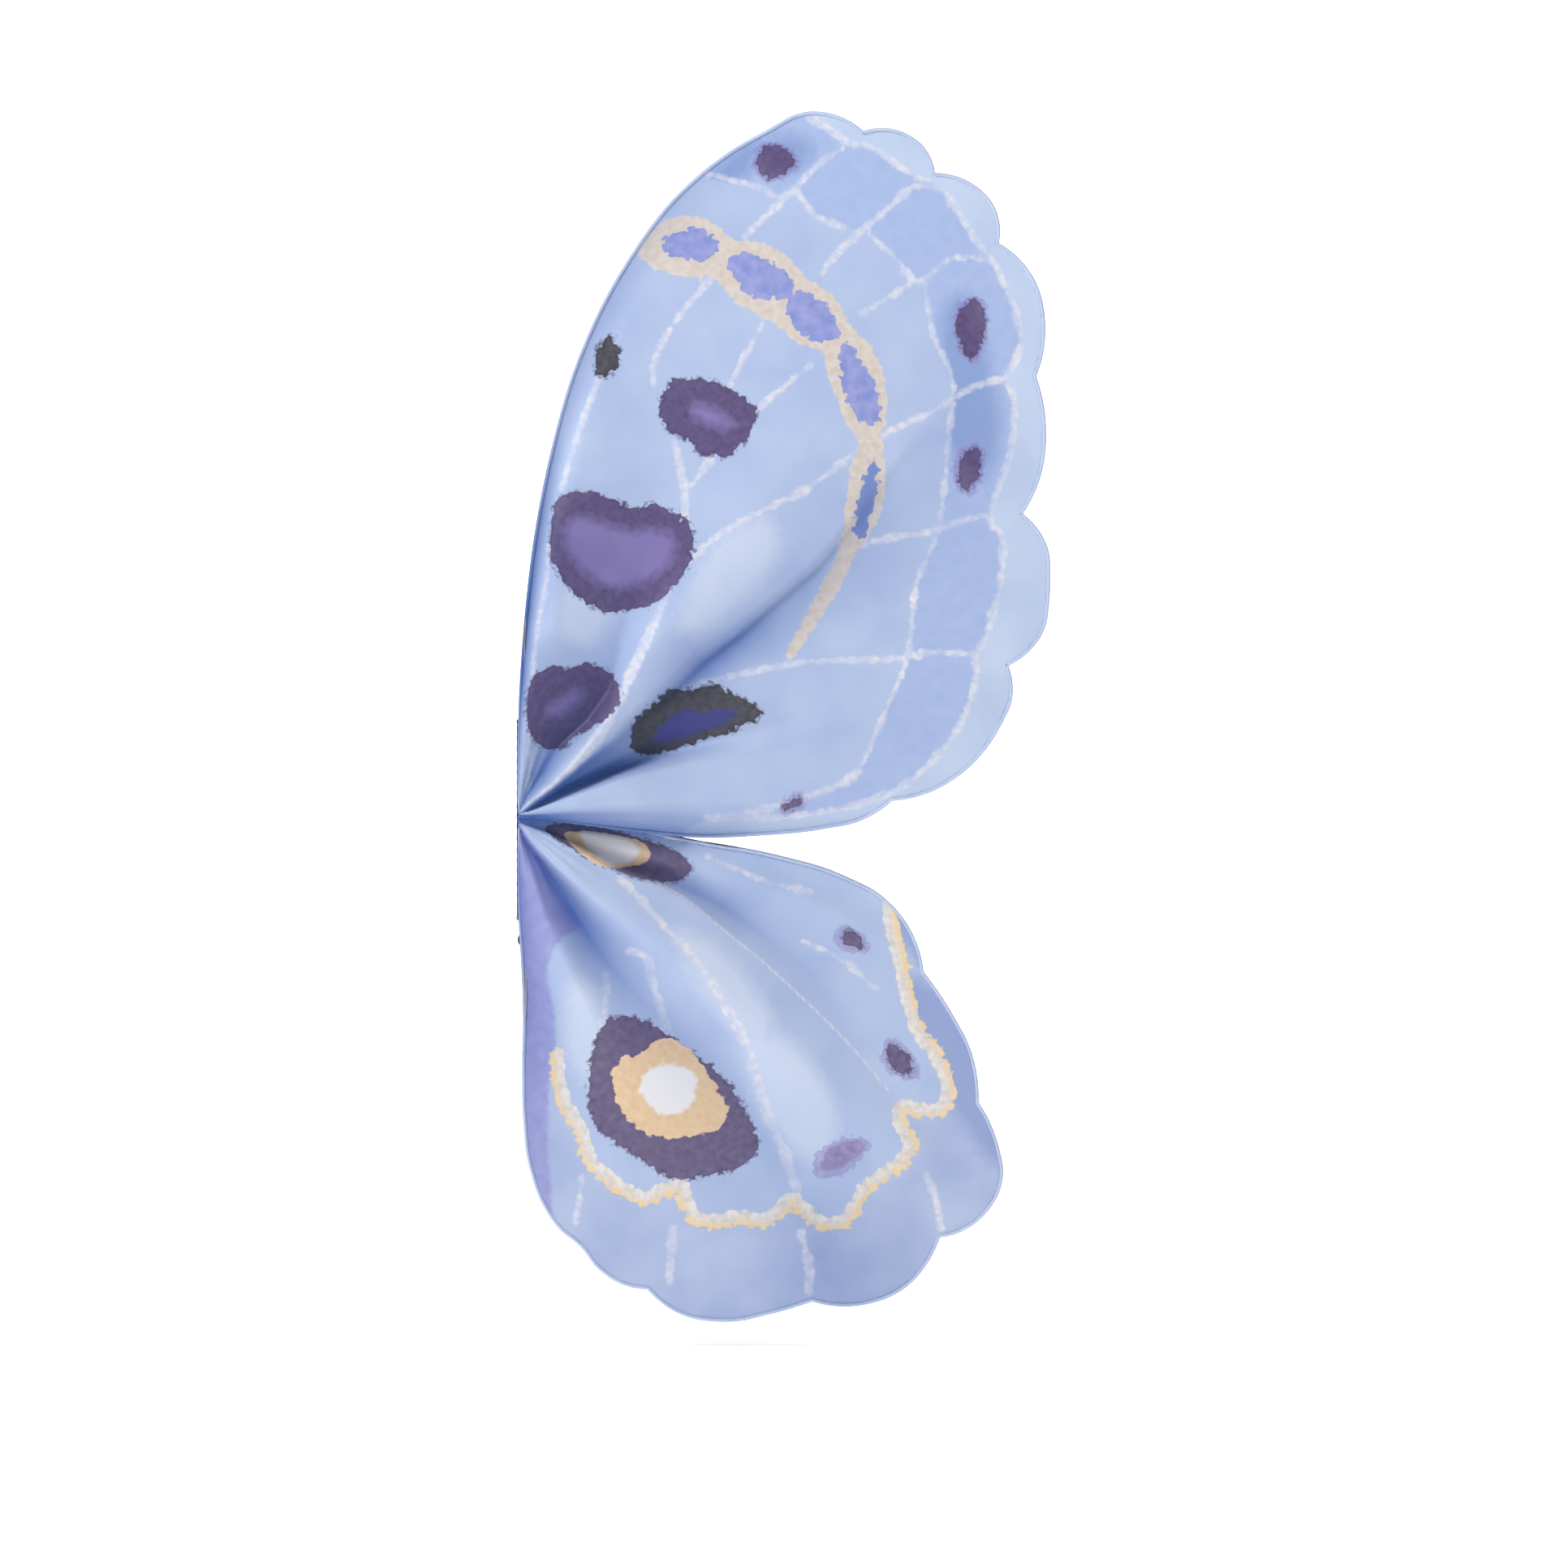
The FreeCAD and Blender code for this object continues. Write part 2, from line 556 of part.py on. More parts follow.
def strap():
    """The elastic strap: from the lower tab in a loop to the ring, round its bar and back along itself."""
    start, end, way = strap_run()
    loop = run_arcs([*STRAP_LOOP[:-1], start], start=unit(STRAP_LEAVES), end=way)
    turn_end = moved(end, way, -LAYER_GAP)
    top = (RING_BAR[0] + way[0] * LAYER_GAP / 2, RING_BAR[1] + way[1] * LAYER_GAP / 2)
    side = (-way[1], way[0])
    back = (-way[0], -way[1])
    tail_end = (turn_end[0] + back[0] * STRAP_TAIL, turn_end[1] + back[1] * STRAP_TAIL)
    turn = [(end, way, top), (top, side, turn_end)]
    return ribbon([*loop, (start, way, end), *turn, (turn_end, back, tail_end)])


def ring_places():
    """The middles of the ring's two long bars: the strap's and the tab's."""
    _, _, way = strap_run()
    return RING_BAR, (RING_BAR[0] + way[0] * RING_GAP, RING_BAR[1] + way[1] * RING_GAP)


def strap_ring():
    """The rectangular ring between the strap and its tab."""
    near, far = ring_places()
    corners = [at(near[0], -STRAP_Y - RING_SIDE, near[1]), at(near[0], -STRAP_Y + RING_SIDE, near[1]),
               at(far[0], -STRAP_Y + RING_SIDE, far[1]), at(far[0], -STRAP_Y - RING_SIDE, far[1])]
    edges = []
    for i, corner in enumerate(corners):
        before, after = corners[i - 1], corners[(i + 1) % 4]
        come = corner + (before - corner).normalize() * RING_BEND
        go = corner + (after - corner).normalize() * RING_BEND
        inner = come + (go - corner)
        edges.append(Part.Arc(come, inner + (corner - inner).normalize() * RING_BEND, go).toShape())
        reach = after + (corner - after).normalize() * RING_BEND
        edges.append(Part.LineSegment(go, reach).toShape())
    return pipe(Part.Wire(edges), RING_WIRE_R)


def ring_tab():
    """The short elastic tab that ties the ring to the bar above the plate's upper slot."""
    bar = (sum(PLATE_U) / 2, PLATE_Z[1] - BAR_H / 2)
    return belt(bar, TAB_R, ring_places()[1], RING_WIRE_R, TAB_T)


def lower_tab():
    """The elastic tab round the bar below the plate's lower slot, sewn to the strap's lower end."""
    bar = (sum(PLATE_U) / 2, PLATE_Z[0] + BAR_H / 2)
    return belt(bar, TAB_R, LOWER_TAB_END, LOWER_TAB_END_R, TAB_T)


def strap_slider():
    """The slide that grips both layers of the strap."""
    start, end, way = strap_run()
    middle = [start[k] + (end[k] - start[k]) * SLIDER_AT for k in (0, 1)]
    middle = moved(tuple(middle), way, -LAYER_GAP / 2)
    body = centred_box(*SLIDER)
    body = body.makeFillet(EDGE_R, body.Edges)
    wide, high = STRAP_W + TUNNEL_CLEAR[0], STRAP_T + TUNNEL_CLEAR[1]
    for side in (1, -1):
        tunnel = centred_box(2 * SLIDER[0], wide, high)
        body = body.cut(tunnel.translated(Vector(0, 0, side * LAYER_GAP / 2)))
    grip = centred_box(GRIP_W, 2 * SLIDER[1], 2 * GRIP_DEPTH)
    body = body.cut(grip.translated(Vector(0, 0, SLIDER[2] / 2)))
    turn = FreeCAD.Rotation(Vector(0, 1, 0), -math.degrees(math.atan2(way[1], way[0])))
    body.Placement = FreeCAD.Placement(at(middle[0], -STRAP_Y, middle[1]), turn)
    return body


# --- all the pieces -------------------------------------------------------------------------------
def one_side():
    """Everything that comes once for each side, made at -Y."""
    return {
        "upper_wing_satin": wing_cloth(True),
        "lower_wing_satin": wing_cloth(False),
        "upper_wing_wire": pipe(wing_wire(True), WIRE_R),
        "lower_wing_wire": pipe(wing_wire(False), WIRE_R),
        "upper_wing_hem": hem(True),
        "lower_wing_hem": hem(False),
        "pivot_rod": pivot_rod(),
        "rod_ferrules": rod_ferrules(),
        "root_block": root_block(),
        "sewing_plate": sewing_plate(),
        "plate_rivets": plate_rivets(),
        "strap": strap(),
        "strap_ring": strap_ring(),
        "ring_tab": ring_tab(),
        "lower_tab": lower_tab(),
        "strap_slider": strap_slider(),
    }


def main():
    os.makedirs("parts", exist_ok=True)
    nodes = {
        "spine_plate": spine_plate(),
        "back_pad": back_pad(),
        "pad_studs": pad_studs(),
        "spine_cover": spine_cover(),
    }
    for name, shape in one_side().items():
        nodes["right_" + name] = shape
        nodes["left_" + name] = shape.mirror(Vector(0, 0, 0), Vector(0, 1, 0))
    for name, shape in nodes.items():
        shape.exportStep(f"parts/{name}.step")
        print(f"{name}: {len(shape.Solids)} solid(s), {shape.Volume:.0f} mm3, valid {shape.isValid()}")


main()
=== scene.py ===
"""Looks of a child's fairy wings, folded shut: printed satin on spring wire, gathered at a padded spine.

Lengths in the design below are millimetres. A place on a wing is (u, v): u counts from the fold line, where the
wings meet the spine, v is the height, and h is how far the satin stands out from the wing's own plane.
"""

import math

import bmesh
import bpy
import numpy as np
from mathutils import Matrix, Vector
from mathutils.geometry import delaunay_2d_cdt


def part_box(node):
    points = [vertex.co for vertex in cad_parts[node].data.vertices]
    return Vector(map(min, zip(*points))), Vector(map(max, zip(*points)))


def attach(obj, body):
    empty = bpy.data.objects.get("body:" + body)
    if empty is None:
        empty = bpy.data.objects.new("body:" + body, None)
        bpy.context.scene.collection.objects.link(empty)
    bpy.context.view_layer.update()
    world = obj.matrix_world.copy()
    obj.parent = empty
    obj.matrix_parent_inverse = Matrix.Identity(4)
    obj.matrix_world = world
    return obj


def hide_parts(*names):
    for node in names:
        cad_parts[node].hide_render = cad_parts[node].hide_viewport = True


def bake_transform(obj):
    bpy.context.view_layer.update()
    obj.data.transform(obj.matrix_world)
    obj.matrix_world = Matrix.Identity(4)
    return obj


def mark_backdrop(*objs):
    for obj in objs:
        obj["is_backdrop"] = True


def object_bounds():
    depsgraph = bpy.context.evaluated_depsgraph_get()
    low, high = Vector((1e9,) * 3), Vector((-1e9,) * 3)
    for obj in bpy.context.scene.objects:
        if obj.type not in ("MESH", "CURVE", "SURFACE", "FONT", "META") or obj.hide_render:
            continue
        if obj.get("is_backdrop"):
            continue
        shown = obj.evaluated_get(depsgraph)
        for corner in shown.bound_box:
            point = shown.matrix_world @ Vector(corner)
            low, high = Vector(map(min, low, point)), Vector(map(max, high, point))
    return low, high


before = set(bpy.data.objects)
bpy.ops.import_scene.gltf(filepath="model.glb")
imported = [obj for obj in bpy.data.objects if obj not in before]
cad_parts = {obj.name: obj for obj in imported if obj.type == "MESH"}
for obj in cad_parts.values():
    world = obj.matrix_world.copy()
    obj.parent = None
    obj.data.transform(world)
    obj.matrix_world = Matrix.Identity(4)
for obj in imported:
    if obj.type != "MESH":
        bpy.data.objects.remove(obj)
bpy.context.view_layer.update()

MM = 0.001
HANDS = (("right", 1), ("left", -1))  # the left side mirrors the right one

# --- places taken from the frame
PAD_LOW, PAD_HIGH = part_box("back_pad")
ROD_LOW, ROD_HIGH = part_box("right_pivot_rod")
HINGE_U = 4.2
PAD_FACE_U = HINGE_U - (ROD_LOW[0] + ROD_HIGH[0]) / 2 / MM
WING_Y = -(ROD_LOW[1] + ROD_HIGH[1]) / 2 / MM

# --- sizes
SATIN = 0.45  # thickness of the doubled satin
EDGE_TO_WIRE = 1.2
HEM_R = 0.82
HEM_ROOT_R = 0.42
HEM_SIDES = 10
MESH_STEP = 1.55
ROOT_STEP = 0.85
ROOT_R = 55.0

# --- the straps, their tabs and the threads
STRAP_W = 8.0
STRAP_T = 1.2
STRAP_Y = 7.0
RING_GAP = 7.0
LAYER_GAP = 3.7
STRAP_LOOP = [(10.4, -69.6), (19, -81), (37, -91.5), (59, -86), (76, -63), (83, -30), (78, 2), (66, 26)]
LOWER_TAB_END = (9.3, -67.6)
TAB_R = 2.9
RING_BAR = (19.5, 53.5)
STRAP_TAIL = 46.0
UPPER_BAR = (4.0, 47.7)
LOWER_BAR = (4.0, -59.7)
TAB_T = 1.0
TAB_CLEAR = 0.6  # from a plate bar to the middle of the tab
STRAP_START = (0.75, -0.66)  # the way the strap leaves the lower tab
STITCH_R = 0.2
THREAD_R = 0.22
BINDING_TOP = 21.05  # how far out the gather thread lies
BINDING_ROWS = (-8.4, -6.4, 6.4, 8.4)
BINDING_HOLES = (12.0, 14.5, 17.0)

# --- the spine's satin
STRIP_HALF = (11.0, 41.0)
STRIP_T = 0.4
STRIP_SEAM = 1.6  # from the strip's edge to its stitches
FLAP_Z = (-50.0, 49.0)
FLAP_START_Y = 10.7
FLAP_T = 0.3
FLAP_ROWS = 241
FLAP_COLUMNS = 25
PAD_BEVEL = 2.6
PAD_VOXEL = 1.4
PAD_PRESSURE = 4.0
PAD_FRAMES = 20
PAD_SWELL = 1.2  # the most the foam pushes the cover out
PAD_CROWN = 0.4
PAD_WRINKLE = 0.12
PAD_INSIDE = 0.05  # the cover stays this far inside the pad's box, but for its front
PAD_PROUD = 0.6  # how far its front may stand out of the box
PAD_CHANNELS = (-13.0, 13.0)  # heights of the stitched channels over the pad's middle
CHANNEL_W = 1.1
CHANNEL_DIP = 1.3
CHANNEL_HALF = 9.5
PIPING_R = 0.6
PIPING_IN = 0.5  # from the pad's side to the middle of the piping

# --- the studio, in metres
VIEW_DISTANCE = 4.0
VIEW_WIDTH = 0.7728
VIEW_X = 0.1156
VIEW_Z = 0.0172
SENSOR = 36.0
WORLD_LIGHT = 0.1
KEY_WATTS = 45.0
FILL_WATTS = 3.0
SWEEP_GLOW = 0.6  # under the wings; the far part glows fully, so that it stays white
SWEEP_REACH = 8.0
SWEEP_BEND = 5.0
SWEEP_R = 1.4
FLOOR_GAP = 0.012
FOLD_SHADE_COLOUR = (0.075, 0.2, 0.5, 1.0)  # painted shade: multiplies the satin's colour in the depth of a fold

# --- the outline of each wing, in runs that meet at cusps
UPPER_OUTLINE = [
    [(0, 3), (0, 44.4), (1.2, 72), (2.9, 95), (7.2, 134), (15.6, 178.8), (28.4, 223.6), (49.6, 268.4),
     (84, 313.2), (117.6, 337.2), (147.6, 349.2), (159.6, 346.6), (170.8, 339.6)],
    [(170.8, 339.6), (191.6, 338.4), (202, 330), (206.4, 318.8)],
    [(206.4, 318.8), (222.8, 314.6), (236.4, 300.4), (238, 284)],
    [(238, 284), (252.8, 270.4), (260.8, 238), (256.4, 218)],
    [(256.4, 218), (261.2, 193), (258.8, 169.6), (250, 150.4)],
    [(250, 150.4), (260.4, 137.6), (263.2, 113.6), (257.6, 88), (242.8, 75.2)],
    [(242.8, 75.2), (244.8, 62), (237.6, 43.2), (219.2, 21.6), (201.2, 11.6), (185.2, 8.4)],
    [(185.2, 8.4), (169.2, -1.6), (152, -5.4), (118.4, -8.8), (88, -9.6), (64, -7.4), (34, -3.8), (0.4, 0.2)],
]
LOWER_OUTLINE = [
    [(0.2, 1.8), (20, 1.6), (40, -0.6), (64, -5.2), (88, -10.2), (126.4, -17.2), (160, -27.2), (182.4, -39.6),
     (194.4, -54.4), (200.8, -75.2)],
    [(200.8, -75.2), (214.4, -94.8), (225.2, -117.2), (228, -139.6)],
    [(228, -139.6), (238, -162), (240, -176), (230, -196.4), (208.8, -206.8)],
    [(208.8, -206.8), (204, -217.2), (192.4, -231), (170, -240.2), (145.6, -238.4)],
    [(145.6, -238.4), (128.8, -243.6), (103.2, -248.4), (80.8, -244.8), (64, -232.4)],
    [(64, -232.4), (50.8, -229.6), (40, -222.4), (30.8, -211.2), (20, -202), (12.4, -190.8), (5.6, -172),
     (2.4, -146), (2, -126), (2.4, -95), (2, -80), (1.5, -70), (1, -61), (0.4, -52), (0, -42), (0, -2.6)],
]

# --- the folds: each runs out from the gather as (u, v, h, shade), shade being painted shade in the satin's colour, and turns from the next by its crispness
UPPER_GATHER = (0.4, 2.0)
UPPER_FOLDS = [
    (0.3, [(0.3, 8, 0, 0.8), (0.3, 44, -1, 0.9), (2, 66, -1, 0.95), (5.2, 100, -1, 1), (12, 150, -0.5, 0.7),
        (22, 201, 0, 0.34), (49, 268, 0, 0.22), (106, 331, 0, 0.1)]),
    (1, [(1.4, 12, 3, 0.1), (4.6, 44, 4, 0.15), (7.4, 68, 5, 0.16), (10.2, 94, 6, 0.04), (16, 136, 5, 0.12),
        (24, 172, 3.5, 0), (40, 216, 1.5, 0), (66, 262, 0.7, 0), (112, 308, 0, 0)]),
    (0, [(3, 7, 2, 1), (11.5, 21, -0.5, 1), (21, 37, 0, 0.8), (34, 49, 1, 0.5), (45, 65, 1.5, 0.42),
        (50, 90, 1.5, 0.24), (55, 108, 2, 0.18), (63, 150, 1.5, 0.05), (78, 200, 0.5, 0), (110, 260, 0, 0)]),
    (0.5, [(3.5, 5.2, 6, 0), (15.6, 14.5, 8, 0), (31, 30.5, 10, 0), (41.5, 43.5, 10, 0), (52.5, 60, 9.5, 0),
        (64, 80, 9, 0), (82, 106, 8, 0), (106, 138, 6.5, 0), (142, 182, 4, 0), (190, 240, 0, 0)]),
    (1.1, [(4, 5, 5.5, 0.4), (17.4, 15, 7, 0.4), (33.5, 29, 9, 0.34), (47.5, 41, 9, 0.1), (61, 56.8, 8, 0.02),
        (75.6, 69.3, 7, 0.3), (87.3, 82, 6, 0.35), (106.6, 93.6, 5, 0.3), (145, 125, 4, 0.12),
        (184, 174, 2, 0), (230, 230, 0, 0)]),
    (0.2, [(4.6, 4.9, 3.5, 0.9), (18.6, 14.8, 4, 1), (36, 28.6, 4, 0.9), (50, 38.5, 3.5, 0.6),
        (64, 52, 3.5, 0.6), (79.5, 65, 3, 0.75), (92, 76.5, 2.5, 0.95), (109, 90, 2, 0.85), (130, 108, 2, 0.5),
        (150, 125, 1.5, 0.35), (188, 170, 0.5, 0.12), (230, 215, 0, 0)]),
    (0, [(5, 4.6, 2.5, 0.9), (21, 15.2, 2.4, 1), (38, 26, 2, 0.85), (52, 34, 1.5, 0.6), (70, 46, 1.8, 0.35),
        (90, 56, 2.6, 0.2), (112, 67, 3.2, 0.05), (145, 82, 3, 0), (185, 100, 1.6, 0), (240, 124, 0, 0)]),
    (0.2, [(5.5, 4.2, 0.5, 1), (23, 13.6, -1, 1), (37, 19.6, -2, 1), (51, 25.2, -2.5, 1), (66, 30.2, -2, 0.8),
        (85, 36.5, -0.5, 0.35), (105, 42, 1, 0.12), (140, 52, 1.2, 0), (190, 70, 0.5, 0), (240, 88, 0, 0)]),
    (0, [(6, 3.6, 4, 0.1), (14, 5.6, 6, 0), (30, 11, 8, 0), (51, 18.5, 9, 0), (80, 25, 8, 0),
        (110, 30, 6.5, 0), (150, 38, 4, 0), (205, 50, 0.6, 0)]),
    (0.3, [(8, 2.8, 4, 0.15), (30, 5.6, 7.5, 0.05), (60, 8, 8.6, 0), (90, 8.5, 7.5, 0), (130, 10, 4, 0),
        (180, 16, 0.6, 0)]),
    (0.4, [(9, 2, 2.6, 1), (30, 2.4, 5, 0.6), (60, 1.6, 6, 0.35), (90, 0, 5, 0.25), (130, -1.5, 2.2, 0.1),
        (180, 4, 0, 0)]),
    (0.2, [(9, 0.2, 0, 1), (34, -3.8, 2, 1), (64, -7.2, 2.4, 1), (90, -9.6, 1.6, 0.75), (130, -8.6, 0, 0.35),
        (180, 2, 0, 0.05)]),
]
LOWER_GATHER = (0.4, -1.6)
LOWER_FOLDS = [
    (0, [(9, 1.6, -0.4, 1), (30, 0.8, -1.2, 1), (60, -4.4, -0.7, 0.8), (90, -10.6, 0, 0.3), (130, -18, 0, 0.1),
        (175, -35, 0, 0)]),
    (0, [(9, -0.4, -0.6, 1), (30, -4.4, -1.6, 1), (60, -8.4, -0.9, 0.75), (90, -14, 0, 0.2),
        (130, -24, 0.4, 0.05), (175, -42, 0, 0)]),
    (0, [(9, -2.9, -2.5, 0.8), (30, -8.5, -2, 0.35), (55, -15, -1, 0.1), (85, -22, 0.4, 0.05),
        (120, -32, 1.6, 0.05), (150, -44, 1.4, 0), (190, -68, 0.2, 0)]),
    (0.3, [(9, -4.3, -2.5, 1), (17, -7, -3.4, 0.9), (31, -13.4, -4, 0.5), (50, -23.2, -4, 0.35),
        (72, -29.8, -3.4, 0.4), (87, -36, -2.4, 0.6), (101, -43, -1.2, 0.5), (116, -53, -0.2, 0.3),
        (135, -68, 0.4, 0.15), (166, -98, 0.3, 0), (200, -130, 0, 0)]),
    (1.3, [(9, -5, 3, 0.2), (16.4, -7.6, 4.4, 0.1), (30, -14.8, 6, 0.05), (47.6, -25, 6.6, 0),
        (70, -31.8, 6, 0), (83.6, -39.6, 5, 0), (96.8, -50.4, 4, 0), (110, -61.2, 3.2, 0),
        (125, -73.6, 2.4, 0), (161, -108, 1, 0), (190, -142, 0, 0)]),
    (0, [(6, -8, 5, 0), (20, -22, 7.5, 0), (34, -33.6, 9, 0), (47.6, -43.5, 9.4, 0), (61, -54, 9, 0),
        (75, -65, 8.2, 0), (100, -87, 6.6, 0), (130, -114, 4.6, 0), (170, -150, 2, 0), (205, -185, 0, 0)]),
    (0, [(3.6, -10.5, 1, 1), (12, -21, -0.5, 1), (20.8, -34, -1.6, 1), (30, -49.6, -2, 1),
        (38.8, -63.2, -1.6, 0.8), (48, -75, -0.8, 0.55), (62, -90, 0.5, 0.35), (92, -116, 1.6, 0.2),
        (118, -150, 1.2, 0.1), (134, -185, 1.2, 0.12), (150, -222, 0.4, 0.25)]),
    (0.2, [(1.8, -10.5, 3, 0.15), (6.4, -26, 4.4, 0.1), (13.4, -46, 5, 0.1), (20.8, -63, 5, 0),
        (32, -88, 4.4, 0), (44, -112, 3.6, 0), (56, -150, 2, 0), (70, -205, 0, 0)]),
    (0.4, [(0.3, -9, 0, 0.7), (0.3, -30, -0.5, 0.7), (0.3, -56, -1, 0.6), (1.6, -75, -1, 0.5),
        (2.9, -96, -0.6, 0.35), (2.2, -140, 0, 0.1), (8, -182, 0, 0)]),
]
ROOT_LIFT = 6.8  # the gathered satin stands clear of the hinge
LOWER_ROOT_LIFT = 5.4
ROOT_FLOOR = 6.6  # least height over the hinge's hardware
LOWER_ROOT_FLOOR = 4.7
FOLD_GAIN = 0.3
ROOT_LIFT_R = (22.0, 95.0)
PUCKER_H = 0.28
PUCKERS = 46  # waves per radian beside the gather
HELD_BY_WIRE = 16.0  # within this of the edge the folds die away


# --- plane curves
def unit(v):
    size = math.hypot(*v)
    return (v[0] / size, v[1] / size)


def circle_tangent(a, b, c, where):
    """The direction at point number where of the circle through three points."""
    (ax, ay), (bx, by), (cx, cy) = a, b, c
    d = 2 * (ax * (by - cy) + bx * (cy - ay) + cx * (ay - by))
    if abs(d) < 1e-6:
        return unit((cx - ax, cy - ay))
    a2, b2, c2 = ax * ax + ay * ay, bx * bx + by * by, cx * cx + cy * cy
    ox = (a2 * (by - cy) + b2 * (cy - ay) + c2 * (ay - by)) / d
    oy = (a2 * (cx - bx) + b2 * (ax - cx) + c2 * (bx - ax)) / d
    px, py = (a, b, c)[where]
    turn = 1 if (bx - ax) * (cy - by) - (by - ay) * (cx - bx) > 0 else -1
    return unit((-(py - oy) * turn, (px - ox) * turn))


def tangents(points, start=None, end=None):
    """A direction at each point of a run that has no corner."""
    inner = [circle_tangent(*points[i - 1 : i + 2], 1) for i in range(1, len(points) - 1)]
    return [start or circle_tangent(*points[:3], 0), *inner, end or circle_tangent(*points[-3:], 2)]


def end_direction(p, t, q):
    x, y = unit((q[0] - p[0], q[1] - p[1]))
    dot = t[0] * x + t[1] * y
    return (2 * dot * x - t[0], 2 * dot * y - t[1])


def biarc(p, t, q, s):
    """Two arcs that leave p along t and reach q along s, each as (start, start direction, end)."""
    vx, vy = q[0] - p[0], q[1] - p[1]
    tx, ty = t[0] + s[0], t[1] + s[1]
    vt, a, c = vx * tx + vy * ty, 2 * (1 - (t[0] * s[0] + t[1] * s[1])), vx * vx + vy * vy
    d = c / (2 * vt) if abs(a) < 1e-9 else (-vt + math.sqrt(vt * vt + a * c)) / a
    joint = ((p[0] + q[0] + d * (t[0] - s[0])) / 2, (p[1] + q[1] + d * (t[1] - s[1])) / 2)
    return [(p, t, joint), (joint, end_direction(p, t, joint), q)]


def run_arcs(points, start=None, end=None):
    ways = tangents(points, start, end)
    arcs = []
    for i in range(len(points) - 1):
        arcs += biarc(points[i], ways[i], points[i + 1], ways[i + 1])
    return arcs


def moved(p, t, inset):
    """p, moved to the right of the direction t."""
    return (p[0] + t[1] * inset, p[1] - t[0] * inset)


def inset_arcs(runs, inset):
    """Runs that meet at cusps as one chain of arcs, moved to the right of the way they go."""
    chain = []
    for number, points in enumerate(runs):
        arcs = run_arcs(points)
        if number:
            cusp, before, after = points[0], end_direction(*last), arcs[0][1]
            chain.append((moved(cusp, before, inset), before, moved(cusp, after, inset)))
        for p, t, q in arcs:
            chain.append((moved(p, t, inset), t, moved(q, end_direction(p, t, q), inset)))
        last = arcs[-1]
    return chain


def arc_points(arc, step):
    """Points along one arc, its start included and its end left out."""
    p, t, q = arc
    length = math.hypot(q[0] - p[0], q[1] - p[1])
    if length < 1e-6:
        return []
    chord = ((q[0] - p[0]) / length, (q[1] - p[1]) / length)
    half = math.atan2(t[0] * chord[1] - t[1] * chord[0], t[0] * chord[0] + t[1] * chord[1])
    count = max(1, round(length / step))
    points = []
    for i in range(count):
        s = i / count
        if abs(half) < 1e-4:
            points.append((p[0] + (q[0] - p[0]) * s, p[1] + (q[1] - p[1]) * s))
            continue
        # the chord from p to a point a share s round the arc turns by s * half from the start direction
        turn = s * half
        size = length * math.sin(turn) / math.sin(half)
        x = t[0] * math.cos(turn) - t[1] * math.sin(turn)
        y = t[0] * math.sin(turn) + t[1] * math.cos(turn)
        points.append((p[0] + x * size, p[1] + y * size))
    return points


def chain_points(chain, step):
    points = [p for arc in chain for p in arc_points(arc, step)]
    return np.array([*points, chain[-1][2]])


def rounded(points, closed=True, cuts=5):
    """A smooth curve through points."""
    pts = np.array(points, float)
    n = len(pts)
    out = []
    for i in range(n if closed else n - 1):
        a, b, c, d = (pts[(i + k) % n] if closed else pts[min(max(i + k, 0), n - 1)] for k in (-1, 0, 1, 2))
        for s in np.arange(cuts) / cuts:
            square, cube = 2 * a - 5 * b + 4 * c - d, 3 * b - a - 3 * c + d
            out.append(0.5 * (2 * b + (c - a) * s + square * s**2 + cube * s**3))
    if not closed:
        out.append(pts[-1])
    return np.array(out)


def closed(line):
    """A line of points with its first point again at its end."""
    return np.vstack([line, line[:1]])


def resampled(corners, step):
    """A closed line through corners with points about a step apart."""
    points = []
    for a, b in zip(corners, corners[1:] + corners[:1]):
        count = max(1, round(math.dist(a, b) / step))
        points += [(a[0] + (b[0] - a[0]) * i / count, a[1] + (b[1] - a[1]) * i / count) for i in range(count)]
    return np.array(points)


def blob(u, v, long, short, angle=0.0):
    """An uneven oval, with its long radius at an angle to +u."""
    a = math.radians(angle)
    out = []
    for k in range(14):
        w = 2 * math.pi * k / 14
        r = 1 + 0.05 * math.sin(3 * w + u) + 0.04 * math.sin(5 * w + v)
        x, y = long * r * math.cos(w), short * r * math.sin(w)
        out.append((u + x * math.cos(a) - y * math.sin(a), v + x * math.sin(a) + y * math.cos(a)))
    return out


# --- distances over a wing
FAR = 9.0  # distances are measured up to this
STROKE_APART = 500.0  # keeps one stroke's dashes from lining up with the next one's


def beside(points, a, b):
    """Each point's distance to the segment from a to b, and how far along it the nearest place is, from 0 to 1."""
    ab = b - a
    t = np.clip(((points - a) @ ab) / max(ab @ ab, 1e-9), 0, 1)
    return np.hypot(*(points - a - t[:, None] * ab).T), t


def segment_distance(points, line, widths=None):
    """Each point's distance to a line of segments, less the line's half-width there if widths are given."""
    best = np.full(len(points), np.inf)
    for i in range(len(line) - 1):
        d, t = beside(points, line[i], line[i + 1])
        if widths is not None:
            d = d - (widths[i] + (widths[i + 1] - widths[i]) * t)
        best = np.minimum(best, d)
    return best


def inside(points, line):
    """Whether each point is inside a closed line."""
    x, y = points.T
    within = np.zeros(len(points), bool)
    for a, b in zip(line, np.roll(line, -1, 0)):
        crosses = (a[1] > y) != (b[1] > y)
        slope = (b[0] - a[0]) / (b[1] - a[1] if b[1] != a[1] else 1e-9)
        within ^= crosses & (x < a[0] + slope * (y - a[1]))
    return within


def near(points, line, reach=FAR):
    low, high = line.min(0) - reach, line.max(0) + reach
    return np.all((points > low) & (points < high), axis=1)


